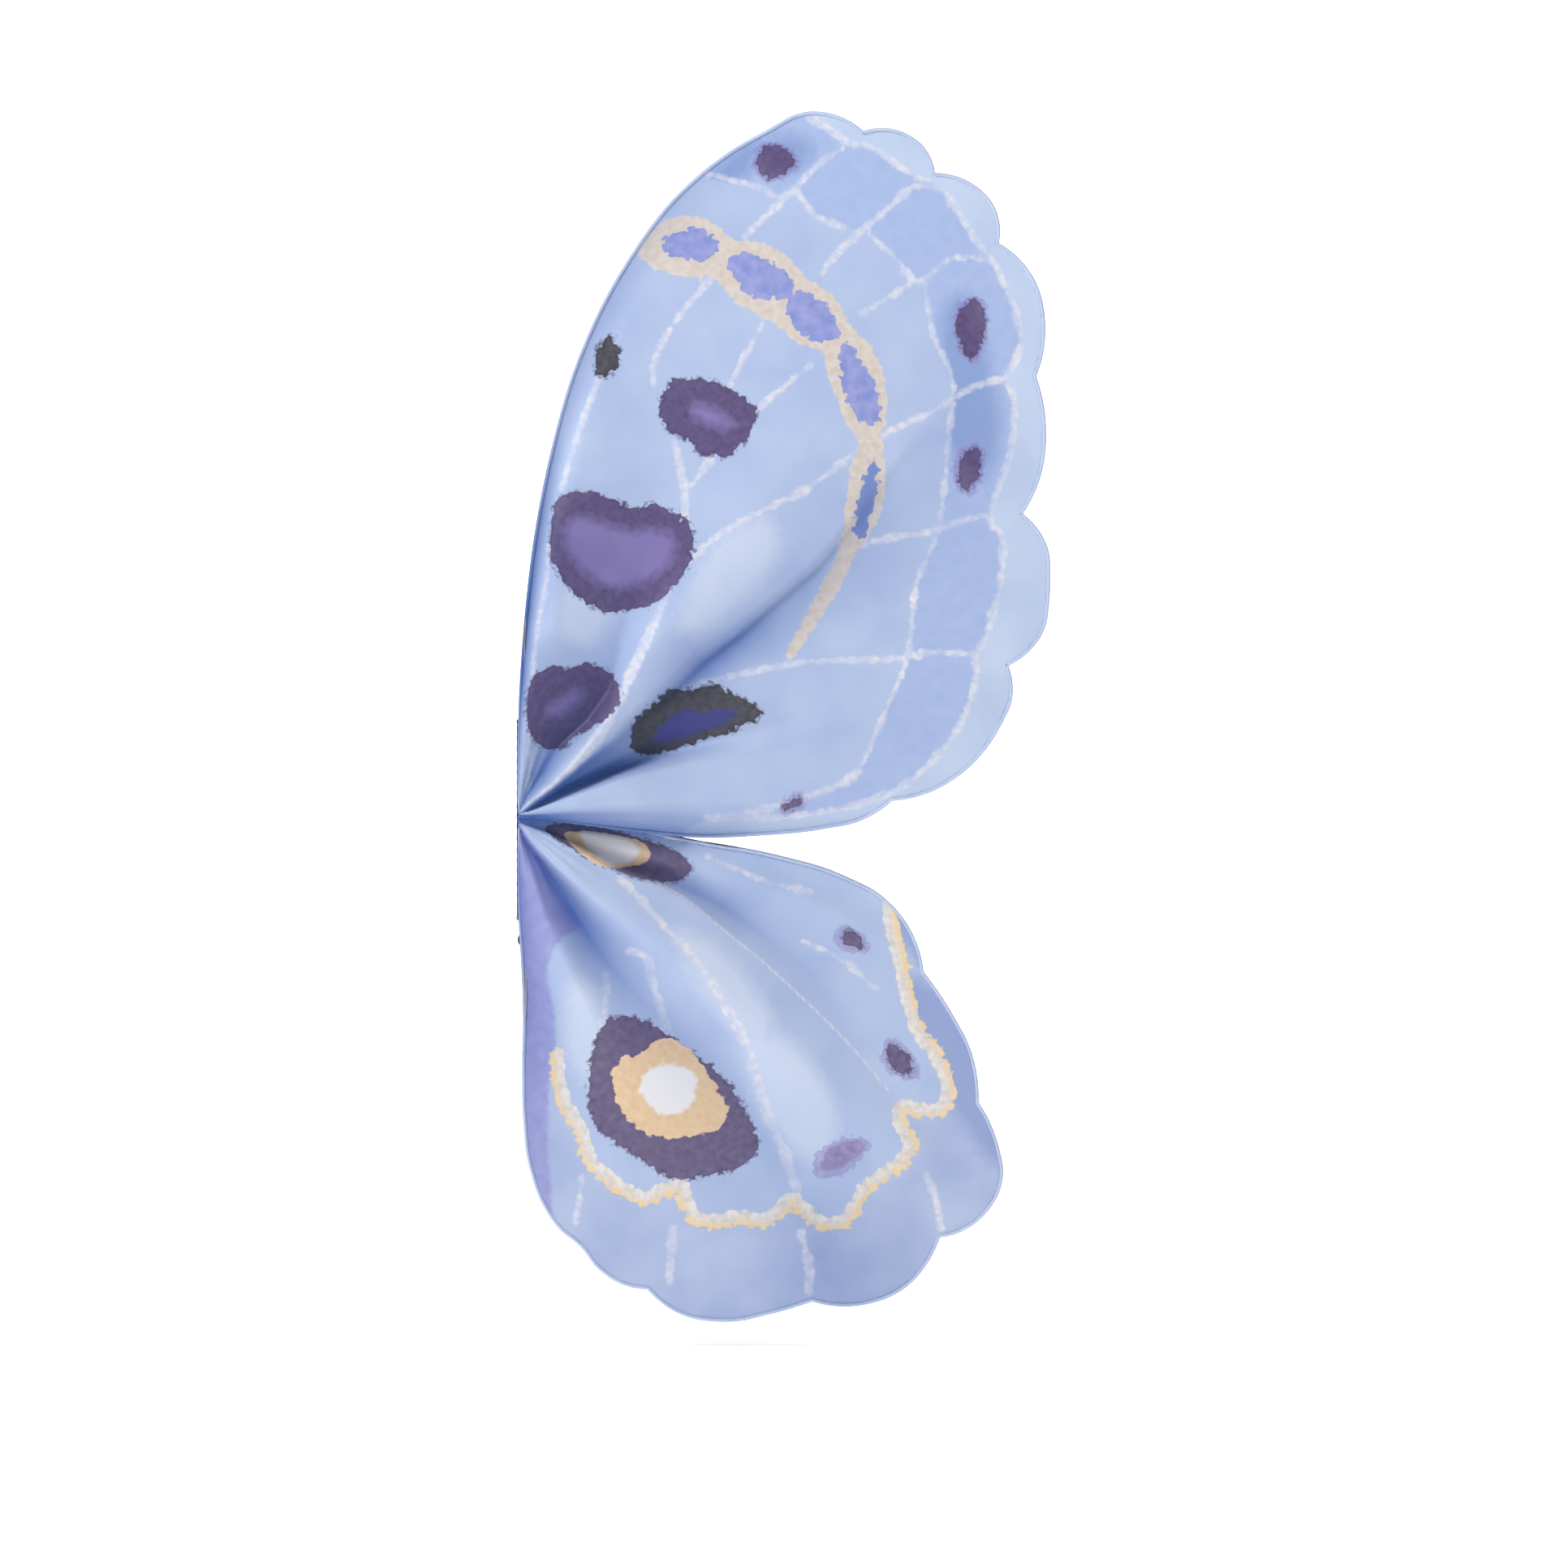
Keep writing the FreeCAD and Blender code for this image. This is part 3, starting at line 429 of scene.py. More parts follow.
def area_field(points, *shapes):
    """How far inside the shapes each point is, negative outside, each shape a list of points round it."""
    field = np.full(len(points), -FAR)
    for shape in shapes:
        line = rounded(shape)
        some = near(points, line)
        d = segment_distance(points[some], closed(line))
        field[some] = np.maximum(field[some], np.where(inside(points[some], line), d, -d))
    return np.clip(field, -FAR, FAR)


def stroke_field(points, *strokes):
    """How far inside brush strokes each point is, each as (half-width, points) or (half-widths, points)."""
    field = np.full(len(points), -FAR)
    for half, route in strokes:
        halves = half if isinstance(half, list) else [half] * len(route)
        line = rounded([(*p, w) for p, w in zip(route, halves)], closed=False, cuts=4)
        some = near(points, line[:, :2], FAR + max(halves))
        field[some] = np.maximum(field[some], -segment_distance(points[some], line[:, :2], line[:, 2]))
    return np.clip(field, -FAR, FAR)


def stroke_run(points, *strokes):
    """How far along the nearest stroke each point is."""
    best, run = np.full(len(points), np.inf), np.zeros(len(points))
    for number, (_, route) in enumerate(strokes):
        line = rounded(route, closed=False, cuts=4)
        some = np.flatnonzero(near(points, line))
        start = STROKE_APART * number
        for a, b in zip(line[:-1], line[1:]):
            d, t = beside(points[some], a, b)
            closer, length = d < best[some], math.dist(a, b)
            best[some[closer]] = d[closer]
            run[some[closer]] = start + t[closer] * length
            start += length
    return run


# --- the folds
def smooth(x, low=0.0, high=1.0):
    t = np.clip((x - low) / (high - low), 0, 1)
    return t * t * (3 - 2 * t)


def fold_field(points, gather, folds, outline, root_lift, root_floor):
    """(h, shade) of each point of a wing, shade being painted shade for the satin's colour: folds that run out from
    the gather and die away at the wired edge.
    """
    side = 1 if gather[1] > 0 else -1
    x, y = points[:, 0] - gather[0], (points[:, 1] - gather[1]) * side
    r, angle = np.hypot(x, y), np.arctan2(y, x)
    angles, heights, shades = [], [], []
    for _, route in folds:
        u, v, h, s = np.array(route, float).T
        du, dv = u - gather[0], (v - gather[1]) * side
        reach = np.hypot(du, dv)
        angles.append(np.interp(r, reach, np.arctan2(dv, du)))
        heights.append(np.interp(r, reach, h))
        shades.append(np.interp(r, reach, s))
    if side < 0:
        order = range(len(folds) - 1, -1, -1)
        angles, heights, shades = ([column[i] for i in order] for column in (angles, heights, shades))
    crisp = [c for c, _ in folds][::side]
    h = np.where(angle >= angles[0], heights[0], heights[-1])
    shade = np.where(angle >= angles[0], shades[0], shades[-1])
    for i in range(len(folds) - 1):
        between = (angle < angles[i]) & (angle >= angles[i + 1])
        t = (angles[i] - angle) / np.maximum(angles[i] - angles[i + 1], 1e-4)
        t = np.clip(t, 0, 1)
        blend = crisp[i] * (t**3 - 2 * t**2 + t) + (3 * t**2 - 2 * t**3) + crisp[i + 1] * (t**3 - t**2)
        h = np.where(between, heights[i] + (heights[i + 1] - heights[i]) * blend, h)
        fall = np.where(shades[i] > shades[i + 1], (1 - t) ** 1.6, t**1.6)
        low, high = np.minimum(shades[i], shades[i + 1]), np.maximum(shades[i], shades[i + 1])
        shade = np.where(between, low + (high - low) * fall, shade)
    # fine puckers beside the gather
    h = h + PUCKER_H * np.sin(angle * PUCKERS) * smooth(r, 4, 12) * (1 - smooth(r, 16, 60))
    held = smooth(segment_distance(points, outline[::3]), 0, HELD_BY_WIRE)
    h = h * (1 + FOLD_GAIN * smooth(r, 12, 40)) * (1 - smooth(r, 70, 105) * (1 - held))
    lift = root_lift * (1 - smooth(r, *ROOT_LIFT_R))
    h = h * smooth(r, 0.0, 9.0) + lift
    return np.maximum(h, root_floor * (1 - smooth(r, 20.0, 34.0)) - 4 * smooth(r, 20.0, 60.0)), shade


# --- the print
UPPER_MARGIN = [(142, 347), (158, 337), (164, 333), (176, 330), (197, 316), (207, 312), (216, 301), (227, 284),
                (236, 272), (246, 249), (248, 232), (241, 217), (245, 206), (243, 180), (233, 150), (239, 138),
                (238, 116), (231, 90), (226, 81), (226, 68), (218, 46), (200, 24), (177, 10), (140, 2), (93, 0)]
UPPER_CELL_EDGE = [(94, 318), (117, 312), (129, 307), (137, 310), (146, 298), (161, 292), (174, 288),
                   (186, 277), (195, 266), (201, 266), (205, 239), (215, 217), (213, 190), (208, 144),
                   (197, 116), (193, 82), (183, 56), (169, 24), (157, 16), (120, 4), (93, 0)]
SPOT_A = [(20, 157), (29, 161), (43, 159), (57, 153), (65, 155), (75, 152), (83, 147), (87, 139), (85, 126),
          (78, 115), (68, 107), (55, 103), (41, 103), (31, 109), (22, 119), (17, 130), (17, 144)]
CORE_A = [(30, 148), (42, 145), (56, 141), (66, 142), (76, 138), (75, 127), (65, 119), (53, 115), (42, 117),
          (32, 124), (26, 132), (25, 142)]
SPOT_B = [(70, 203), (76, 215), (86, 217), (98, 215), (109, 209), (117, 203), (117, 195), (112, 186),
          (102, 179), (90, 180), (85, 187), (75, 191)]
SPOT_C = [(5, 60), (9, 70), (18, 75), (26, 74), (35, 76), (44, 73), (50, 66), (50, 56), (42, 48), (32, 43),
          (22, 35), (14, 35), (8, 40), (5, 50)]
SPOT_D = [(57, 36), (57, 44), (60, 50), (68, 57), (76, 64), (84, 63), (96, 66), (104, 63), (113, 58), (121, 52),
          (114, 47), (98, 41), (82, 36), (68, 32), (60, 33)]
CORE_D = [(67, 38), (73, 48), (84, 54), (92, 52), (99, 54), (108, 53), (102, 47), (92, 43), (80, 39)]
CHAIN = [(62, 277.5), (67, 280), (74, 281.5), (86, 282), (102, 276), (119, 267), (134, 256), (146, 247),
         (157, 237), (166, 222), (171, 203), (174, 186), (173, 172), (171, 154), (163, 132), (153, 112),
         (135, 82)]
CHAIN_HALF = [2.2, 6.0, 11.5, 15.2, 10.5, 16.5, 13.5, 14.5, 9.5, 13, 11.5, 5.5, 8.5, 9.0, 4.6, 4.2, 2.6]
CHAIN_HOLES = [blob(85.5, 283, 14, 8.2), blob(120, 267, 18, 9.5, -28), blob(145.5, 247, 15, 9.5, -42),
               blob(168.5, 213, 21, 7.6, -70), blob(172, 157, 20, 4.0, 78)]
UPPER_VEINS = [
    (1.1, UPPER_MARGIN),
    (1.08, [(94, 318), (117, 312), (129, 307), (137, 310), (146, 298), (161, 292)]),
    (1.08, [(164, 333), (149, 323), (140, 314), (137, 310), (128, 302), (112, 287)]),
    (1.20, [(207, 312), (195, 311), (184, 302), (170, 290), (161, 282), (150, 269)]),
    (0.84, [(174, 288), (186, 277), (195, 266), (201, 266), (214, 276), (231, 276)]),
    (0.72, [(201, 266), (205, 239), (215, 217), (213, 190), (208, 144), (197, 116), (193, 82), (183, 56),
        (169, 24)]),
    (1.20, [(169, 24), (157, 16), (120, 4), (93, 0)]),
    (1.08, [(241, 217), (225, 213), (205, 201), (175, 186), (145, 164), (118, 150), (100, 140), (74, 117)]),
    (1.08, [(233, 150), (220, 147), (205, 142), (181, 138), (164, 133)]),
    (1.08, [(226, 81), (205, 82), (187, 79), (160, 78), (133, 76), (97, 68), (83, 64)]),
    (0.96, [(96, 267), (77, 244), (68, 226), (67, 214)]),
    (0.84, [(193, 263), (170, 249)]),
    (0.84, [(121, 244), (112, 228), (105, 214)]),
    (0.96, [(145, 224), (121, 204), (100, 182), (86, 164)]),
    ([1, 1.6, 2.1, 2.4, 2.4, 2, 1.2], [(3, 4), (17, 15), (33, 31), (43, 45), (52, 62), (64, 88), (75, 112)]),
    ([1.2, 1.9, 1.2], [(83, 147), (82, 166), (77, 186)]),
    ([1.3, 1.1, 0.8], [(40, 216), (31, 192), (22, 162)]),
    (0.66, [(16, 136), (14, 114), (10, 94), (7.6, 68), (6.5, 40), (6, 8)]),
]
LOWER_BAND = [(183, -36), (184, -50), (187, -62), (190, -76), (193, -90), (198, -105), (206, -116),
              (212, -130), (212, -139), (206, -144), (196, -143), (189, -142), (189, -150), (194, -160),
              (190, -168), (181, -175), (172, -181), (167, -190), (159, -199), (149, -198), (141, -192),
              (136, -187), (130, -192), (122, -198), (110, -196), (97, -198), (88, -197), (84, -190),
              (81, -181), (72, -183), (63, -187), (54, -183), (45, -177), (36, -168), (33, -158), (29, -149),
              (24, -141), (21, -130), (20, -116)]
LOWER_BAND_CLOSE = [(14, -96), (4, -60), (-12, 0), (60, 14), (190, -8)]
EYE_RING = [(43, -101), (52, -98), (61, -99), (71, -104), (82, -112), (93, -120), (104, -130), (112, -143),
            (118, -156), (117, -166), (108, -172), (92, -176), (77, -177), (66, -171), (55, -163), (44, -156),
            (37, -146), (35, -132), (37, -117)]
EYE_SAND = [(47, -124), (52, -118), (60, -116), (66, -110), (75, -109), (84, -113), (92, -122), (99, -133),
            (104, -145), (99, -153), (88, -156), (74, -157), (62, -154), (53, -146), (48, -135)]
HIDDEN_RING = [(14, -4.5), (30, -3), (48, -6), (66, -11.5), (77, -15.5), (84, -21), (86, -25), (80, -30),
               (71, -31), (61, -29), (48, -24.6), (30, -16)]
HIDDEN_SAND = [(23, -8.4), (31, -6), (47, -7.6), (61, -11.2), (66, -16.6), (64, -21), (56, -23.5), (46, -24),
               (36, -20)]
HIDDEN_WHITE = [(31, -7.4), (42, -7.6), (53, -10), (60, -14), (59, -18.6), (54, -22), (46, -22), (38, -17)]
LEFT_STRIP = [(-4, 0), (6, -9), (12, -20), (21, -36), (31, -52), (23, -58), (17, -67), (15, -79), (18, -92),
              (19, -112), (16, -132), (15, -160), (17, -186), (14, -206), (-4, -206), (-4, -100)]
LOWER_VEINS = [
    (1.12, [(51, -29), (59, -37), (66, -45), (80, -60), (88, -69), (96, -80)]),
    (1.88, [(96, -80), (103, -92), (110, -105), (115, -117), (123, -144), (130, -160), (138, -182)]),
    (1.75, [(140, -204), (144, -220), (144, -232)]),
    (1.62, [(55, -65), (64, -68), (66, -77), (69, -87), (75, -106)]),
    (1.12, [(44, -77), (44, -90), (42, -101)]),
    (1.00, [(32, -176), (31, -186), (29, -199)]),
    (1.50, [(77, -202), (76, -212), (75, -228)]),
    (1.12, [(202, -176), (207, -189), (209, -202)]),
    (0.75, [(93, -18), (121, -30), (145, -36)]),
    (0.75, [(141, -60), (161, -70), (177, -84)]),
]
LOWER_CREASE_LINE = (0.6, [(62, -29.5), (70, -31.8), (83.6, -39.6), (96.8, -50.4), (110, -61.2), (125, -73.6),
                     (161, -108), (183, -134)])


def upper_print(points):
    """The inks of the upper wing, a painted highlight and painted shade among them, each as a field of how far
    inside its painted shapes a point is.
    """
    outside = [(60, -40), (320, -40), (320, 400), (120, 400)]
    margin = [tuple(p) for p in rounded(UPPER_MARGIN, closed=False)[::3]] + outside
    cells = UPPER_MARGIN + UPPER_CELL_EDGE[::-1] + [(110, 345)]
    return {
        "margin": area_field(points, margin),
        "cell": area_field(points, cells),
        # pale print; the second oval lies along the main ridge's crest and is a painted highlight
        "pale_print_and_highlight": area_field(points, blob(33, 104, 19, 13, 85), blob(105, 120, 34, 14, 52)),
        # darker areas of the print; the oval over spot C beside the gather is painted shade
        "darker_tone_and_shade": area_field(points, blob(222, 212, 46, 14, 97), blob(172, 157, 22, 6, 78),
                           blob(108, 320, 20, 7, 50), blob(24, 56, 26, 20, 30), blob(132, 328, 14, 10),
                           blob(52, 130, 40, 32), blob(94, 198, 28, 22)),
        "vein": stroke_field(points, *UPPER_VEINS),
        "run": stroke_run(points, *UPPER_VEINS),
        "rough": 0.55 + 0.45 * smooth(points[:, 0], 10, 60),
        "tan": stroke_field(points, (CHAIN_HALF, CHAIN)),
        "hole": area_field(points, *CHAIN_HOLES),
        "spot": area_field(points, SPOT_A, SPOT_B, SPOT_C, blob(127, 324, 9, 7.6), blob(224, 242, 14.5, 6.6, 88),
                           blob(223, 173, 10.5, 5.0, 78), blob(136, 7.4, 4.6, 2.4, 30)),
        "faint": area_field(points, blob(127, 324, 12, 10), blob(224, 242, 17, 9, 88),
                            blob(223, 173, 13.5, 7.8, 78), blob(136, 7.4, 7.4, 4.6, 30)),
        "core": area_field(points, CORE_A, blob(96, 198, 10, 3, -22), blob(24, 57, 9, 2.6, 32)),
        "ink": area_field(points, SPOT_D, blob(44.4, 227.6, 10, 5.6, 80)),
        "inkcore": area_field(points, CORE_D),
    }


def lower_print(points):
    """The inks of the lower wing, a painted highlight among them."""
    inner = area_field(points, LOWER_BAND + LOWER_BAND_CLOSE)
    band = stroke_field(points, (3.4, LOWER_BAND))
    outer = np.clip(-inner, -FAR, FAR)
    return {
        "outer": outer,
        "strip": area_field(points, LEFT_STRIP),
        # pale print; the second oval lies along the main ridge's crest and is a painted highlight
        "pale_print_and_highlight": area_field(points, blob(34, -106, 26, 11, 100), blob(104, -84, 36, 11, -52),
                            blob(135, -136, 37, 17, -60)),
        # darker areas of the print
        "darker_tone_and_shade": area_field(points, blob(216, -122, 52, 13, -62), blob(196, -58, 34, 7, -50)),
        "vein": stroke_field(points, *LOWER_VEINS),
        "run": stroke_run(points, *LOWER_VEINS),
        "rough": 0.3 + 0.7 * smooth(-points[:, 1], 28, 80),
        "crease": stroke_field(points, LOWER_CREASE_LINE),
        "cream": band,
        "orange": np.minimum(band + 0.9, outer - 0.8),
        "spot": area_field(points, EYE_RING, HIDDEN_RING, blob(165.5, -59.5, 5.6, 3.2, -35),
                           blob(188.5, -119, 8.4, 4.2, -52)),
        "faint": area_field(points, blob(165, -60, 9.6, 6.0, -25), blob(188.5, -119, 12, 7.4, -50),
                            blob(159, -166.5, 15.5, 8.4, 30)),
        "mauve": area_field(points, blob(160, -165.5, 11.5, 5.4, 30)),
        "sand": area_field(points, EYE_SAND, HIDDEN_SAND),
        "white": area_field(points, blob(75, -133, 14, 12.6), HIDDEN_WHITE),
    }


INKS = ("darker_tone_and_shade", "margin", "outer", "crease", "run", "rough", "faint", "mauve", "cell", "pale_print_and_highlight", "strip", "vein",
        "cream", "orange", "tan", "hole", "spot", "core", "ink", "inkcore", "sand", "white")


# --- nodes
def linear(r, g, b):
    """A colour given as 8-bit sRGB."""
    def one(c):
        c /= 255
        return c / 12.92 if c <= 0.04045 else ((c + 0.055) / 1.055) ** 2.4

    return (one(r), one(g), one(b), 1.0)


class Nodes:
    """Builds one material's node tree."""

    def __init__(self, name):
        self.material = bpy.data.materials.new(name)
        self.material.use_nodes = True
        self.tree = self.material.node_tree
        self.shader = self.tree.nodes["Principled BSDF"]

    def node(self, kind, **values):
        node = self.tree.nodes.new(kind)
        for key, value in values.items():
            setattr(node, key, value)
        return node

    def link(self, value, socket):
        if isinstance(value, bpy.types.NodeSocket):
            self.tree.links.new(value, socket)
        else:
            socket.default_value = value

    def math(self, operation, a, b=0.0, clamp=False):
        node = self.node("ShaderNodeMath", operation=operation, use_clamp=clamp)
        self.link(a, node.inputs[0])
        self.link(b, node.inputs[1])
        return node.outputs[0]

    def mix(self, factor, a, b, blend="MIX"):
        node = self.node("ShaderNodeMix", data_type="RGBA", blend_type=blend)
        self.link(factor, node.inputs["Factor"])
        self.link(a, node.inputs["A"])
        self.link(b, node.inputs["B"])
        return node.outputs["Result"]

    def scaled(self, value, gain, offset=0.5, clamp=True):
        return self.math("ADD", self.math("MULTIPLY", value, gain), offset, clamp)

    def attribute(self, name, output="Fac"):
        node = self.node("ShaderNodeAttribute", attribute_name=name)
        return node.outputs[output]

    def noise(self, place, scale, detail=2.0, roughness=0.5):
        """Noise about zero."""
        node = self.node("ShaderNodeTexNoise")
        self.link(place, node.inputs["Vector"])
        node.inputs["Scale"].default_value = scale
        node.inputs["Detail"].default_value = detail
        node.inputs["Roughness"].default_value = roughness
        return self.math("SUBTRACT", node.outputs["Fac"], 0.5)

    def set(self, **values):
        for name, value in values.items():
            self.link(value, self.shader.inputs[name.replace("_", " ").title().replace("Ior", "IOR")])

    def bump(self, height, distance, strength=1.0):
        node = self.node("ShaderNodeBump")
        node.inputs["Distance"].default_value = distance
        node.inputs["Strength"].default_value = strength
        self.link(height, node.inputs["Height"])
        self.link(node.outputs["Normal"], self.shader.inputs["Normal"])


def satin_weave(n, place, strength):
    """Fine satin floats, as bump."""
    wave = n.node("ShaderNodeTexWave", wave_type="BANDS", bands_direction="Y")
    n.link(place, wave.inputs["Vector"])
    wave.inputs["Scale"].default_value = 1.1
    wave.inputs["Distortion"].default_value = 1.2
    wave.inputs["Detail"].default_value = 1.0
    grain = n.noise(place, 2.4, 2.0)
    n.bump(n.math("ADD", n.math("MULTIPLY", wave.outputs["Fac"], 0.35), grain), 0.00006, strength)


def printed_satin():
    """Satin with the butterfly print, painted shade in the folds and a painted highlight along the main ridge of
    each panel. The inks' fields are in millimetres, as is the place on the wing.
    """
    n = Nodes("printed_satin")
    place = n.attribute("place", "Vector")
    broad = n.noise(place, 0.03, 2.0)
    coarse = n.noise(place, 0.16, 2.0)
    ragged = n.noise(place, 0.27, 1.2, 0.5)
    dabs = n.noise(place, 0.7, 1.0)

    def ink(name, edge=1.0, soft=0.5, shift=0.0):
        """Where an ink lies, with a brushed edge."""
        wander = n.math("MULTIPLY", coarse, 4.5 * edge)
        wander = n.math("ADD", wander, n.math("MULTIPLY", ragged, 11.0 * edge))
        wander = n.math("MULTIPLY", wander, n.attribute("rough"))
        field = n.math("ADD", n.attribute(name), n.math("ADD", wander, shift))
        return n.math("ADD", n.math("DIVIDE", field, soft), 0.5, clamp=True)

    def lay(below, cover, amount, above):
        """The colour with another laid over it where cover is."""
        return n.mix(n.math("MULTIPLY", cover, amount), below, above)

    def varied(noise, gain, low, high):
        return n.mix(n.scaled(noise, gain), linear(*low), linear(*high))

    # darker tones over the cells, holes, spots and outer part; over spot C this is painted shade
    darker_tone_and_shade = ink("darker_tone_and_shade", 0.5, 9.0)
    colour = varied(broad, 1.6, (166, 184, 222), (185, 200, 230))
    # pale print, and a painted highlight along the main ridge's crest
    colour = lay(colour, ink("pale_print_and_highlight", 0.5, 10.0), 0.66, linear(210, 221, 240))
    colour = lay(colour, ink("margin", 0.25, 1.4), 0.9, varied(broad, 2.4, (182, 199, 228), (198, 212, 235)))
    colour = lay(colour, ink("outer", 0.25, 1.4), 0.92, varied(broad, 2.4, (164, 179, 217), (184, 197, 227)))
    colour = lay(colour, n.math("MULTIPLY", darker_tone_and_shade, ink("outer", 0.25, 1.4)), 0.75, linear(140, 156, 204))
    colour = lay(colour, ink("cell", 0.25, 1.0), 0.92, varied(coarse, 1.2, (158, 178, 221), (174, 191, 230)))
    colour = lay(colour, n.math("MULTIPLY", darker_tone_and_shade, ink("cell", 0.25, 1.0)), 0.75, linear(128, 152, 204))
    colour = lay(colour, ink("strip", 0.3, 2.5), 0.92, varied(coarse, 1.6, (144, 148, 208), (166, 168, 217)))
    dashes = n.node("ShaderNodeTexNoise", noise_dimensions="1D")
    n.link(n.attribute("run"), dashes.inputs["W"])
    dashes.inputs["Scale"].default_value = 0.09
    dashes.inputs["Detail"].default_value = 1.0
    dashes = n.math("SUBTRACT", dashes.outputs["Fac"], 0.5)
    strokes = n.math("ADD", n.attribute("vein"), n.math("MULTIPLY", dashes, 3.0))
    strokes = n.math("ADD", strokes, n.math("MULTIPLY", ragged, 2.2))
    strokes = n.math("ADD", strokes, n.math("MULTIPLY", dabs, 1.6))
    strokes = n.math("ADD", n.math("DIVIDE", strokes, 1.5), 0.75, clamp=True)
    strength = n.scaled(n.noise(place, 0.06, 1.0), 1.4, 0.62)
    strokes = n.math("MULTIPLY", strokes, strength)
    colour = lay(colour, strokes, 0.95, varied(ragged, 3.0, (205, 209, 231), (236, 232, 234)))
    colour = lay(colour, ink("crease", 0.06, 0.5), 0.7, linear(222, 220, 226))
    colour = lay(colour, ink("cream", 0.4, 0.7), 0.94, varied(ragged, 3.5, (218, 208, 198), (233, 229, 224)))
    orange = varied(coarse, 3.0, (238, 203, 142), (236, 216, 178))
    colour = lay(colour, ink("orange", 0.75, 0.9, -0.5), 0.85, orange)
    colour = lay(colour, ink("tan", 0.42, 0.9), 0.95, varied(ragged, 2.5, (210, 196, 182), (221, 211, 204)))
    hole = n.mix(darker_tone_and_shade, varied(coarse, 3.0, (124, 143, 209), (157, 160, 216)), linear(112, 136, 198))
    colour = lay(colour, ink("hole", 0.75, 0.6), 0.97, hole)
    colour = lay(colour, ink("faint", 0.6, 0.8), 0.55, varied(ragged, 3.0, (122, 112, 176), (160, 150, 200)))
    colour = lay(colour, ink("mauve", 0.5, 1.2), 0.8, varied(ragged, 2.0, (128, 112, 162), (158, 144, 186)))
    # stray flecks round each dark spot, then the spot itself
    flecks = n.math("GREATER_THAN", n.noise(place, 0.45, 1.0, 0.5), 0.04)
    for name, dark, low, high in (("spot", (74, 60, 100), (92, 79, 114), (116, 104, 138)),
                                  ("ink", (48, 44, 50), (56, 54, 60), (84, 82, 90))):
        colour = lay(colour, n.math("MULTIPLY", ink(name, 0.5, 0.8, 1.5), flecks), 0.5, linear(*dark))
        body = varied(ragged, 1.5, low, high)
        if name == "spot":
            # darker spot colour, which is painted shade over spot C
            body = n.mix(n.math("MULTIPLY", darker_tone_and_shade, 0.7), body, varied(ragged, 1.5, (74, 60, 106), (92, 76, 128)))
        colour = lay(colour, ink(name, 0.6, 0.45), 0.97, body)
        rim = n.math("SUBTRACT", ink(name, 0.6, 0.9, 0.4), ink(name, 0.6, 0.9, -0.9), clamp=True)
        colour = lay(colour, rim, 0.4, linear(*dark))
        if name == "spot":
            core = varied(broad, 2.0, (132, 120, 176), (156, 146, 198))
            core = n.mix(n.math("MULTIPLY", darker_tone_and_shade, 0.27), core, linear(98, 82, 156))
            colour = lay(colour, ink("core", 0.35, 7.0, 0.8), 0.92, core)
    colour = lay(colour, ink("inkcore", 0.4, 2.2), 0.92, linear(66, 68, 142))
    colour = lay(colour, n.math("MULTIPLY", ink("sand", 0.5, 1.0, 1.0), flecks), 0.6, linear(104, 82, 150))
    colour = lay(colour, ink("sand", 0.5, 0.6), 0.97, varied(ragged, 2.0, (226, 192, 152), (236, 208, 174)))
    colour = lay(colour, ink("white", 0.35, 2.0), 1.0, linear(234, 233, 236))
    # painted shade: the colour is darkened and turned bluer in the hollow of each fold
    fold_shade = n.math("POWER", n.attribute("shade"), 0.8)
    colour = n.mix(n.math("MULTIPLY", fold_shade, 0.95), colour, FOLD_SHADE_COLOUR, "MULTIPLY")
    n.set(base_color=colour, roughness=0.46, specular_ior_level=0.32, sheen_weight=0.18, sheen_roughness=0.4,
          anisotropic=0.35)
    satin_weave(n, place, 0.5)
    return n.material


def plain_satin(name, colour, dark):
    n = Nodes(name)
    place = n.node("ShaderNodeTexCoord").outputs["Object"]
    millimetres = n.node("ShaderNodeVectorMath", operation="SCALE")
    n.link(place, millimetres.inputs[0])
    millimetres.inputs["Scale"].default_value = 1000.0
    place = millimetres.outputs[0]
    tone = n.mix(n.scaled(n.noise(place, 0.08, 3.0), 1.8), linear(*dark), linear(*colour))
    # painted shade in the hollows of the folds, from the shade field that only the wing hems carry
    tone = n.mix(n.math("MULTIPLY", n.attribute("shade"), 0.95), tone, FOLD_SHADE_COLOUR, "MULTIPLY")
    n.set(base_color=tone, roughness=0.5, specular_ior_level=0.35, sheen_weight=0.2, sheen_roughness=0.4)
    satin_weave(n, place, 0.6)
    return n.material


def woven_elastic():
    """Black woven elastic: ribs along the band, a fine weft across, and a little fuzz."""
    n = Nodes("woven_elastic")
    place = n.attribute("place", "Vector")
    split = n.node("ShaderNodeSeparateXYZ")
    n.link(place, split.inputs[0])
    ribs = n.math("SINE", n.math("MULTIPLY", split.outputs["Y"], 2 * math.pi / 0.9))
    weft = n.math("SINE", n.math("MULTIPLY", split.outputs["X"], 2 * math.pi / 0.7))
    weave = n.math("MULTIPLY", n.math("ADD", ribs, 1.0), n.math("ADD", weft, 1.4))
    fuzz = n.noise(place, 3.0, 3.0)
    shade = n.math("ADD", n.math("MULTIPLY", weave, 0.2), n.math("MULTIPLY", fuzz, 0.7), clamp=True)
    n.set(base_color=n.mix(shade, linear(20, 20, 23), linear(52, 52, 58)), roughness=0.86, sheen_weight=0.3)
    n.bump(n.math("ADD", n.math("MULTIPLY", weave, 0.3), fuzz), 0.00018, 0.8)
    return n.material


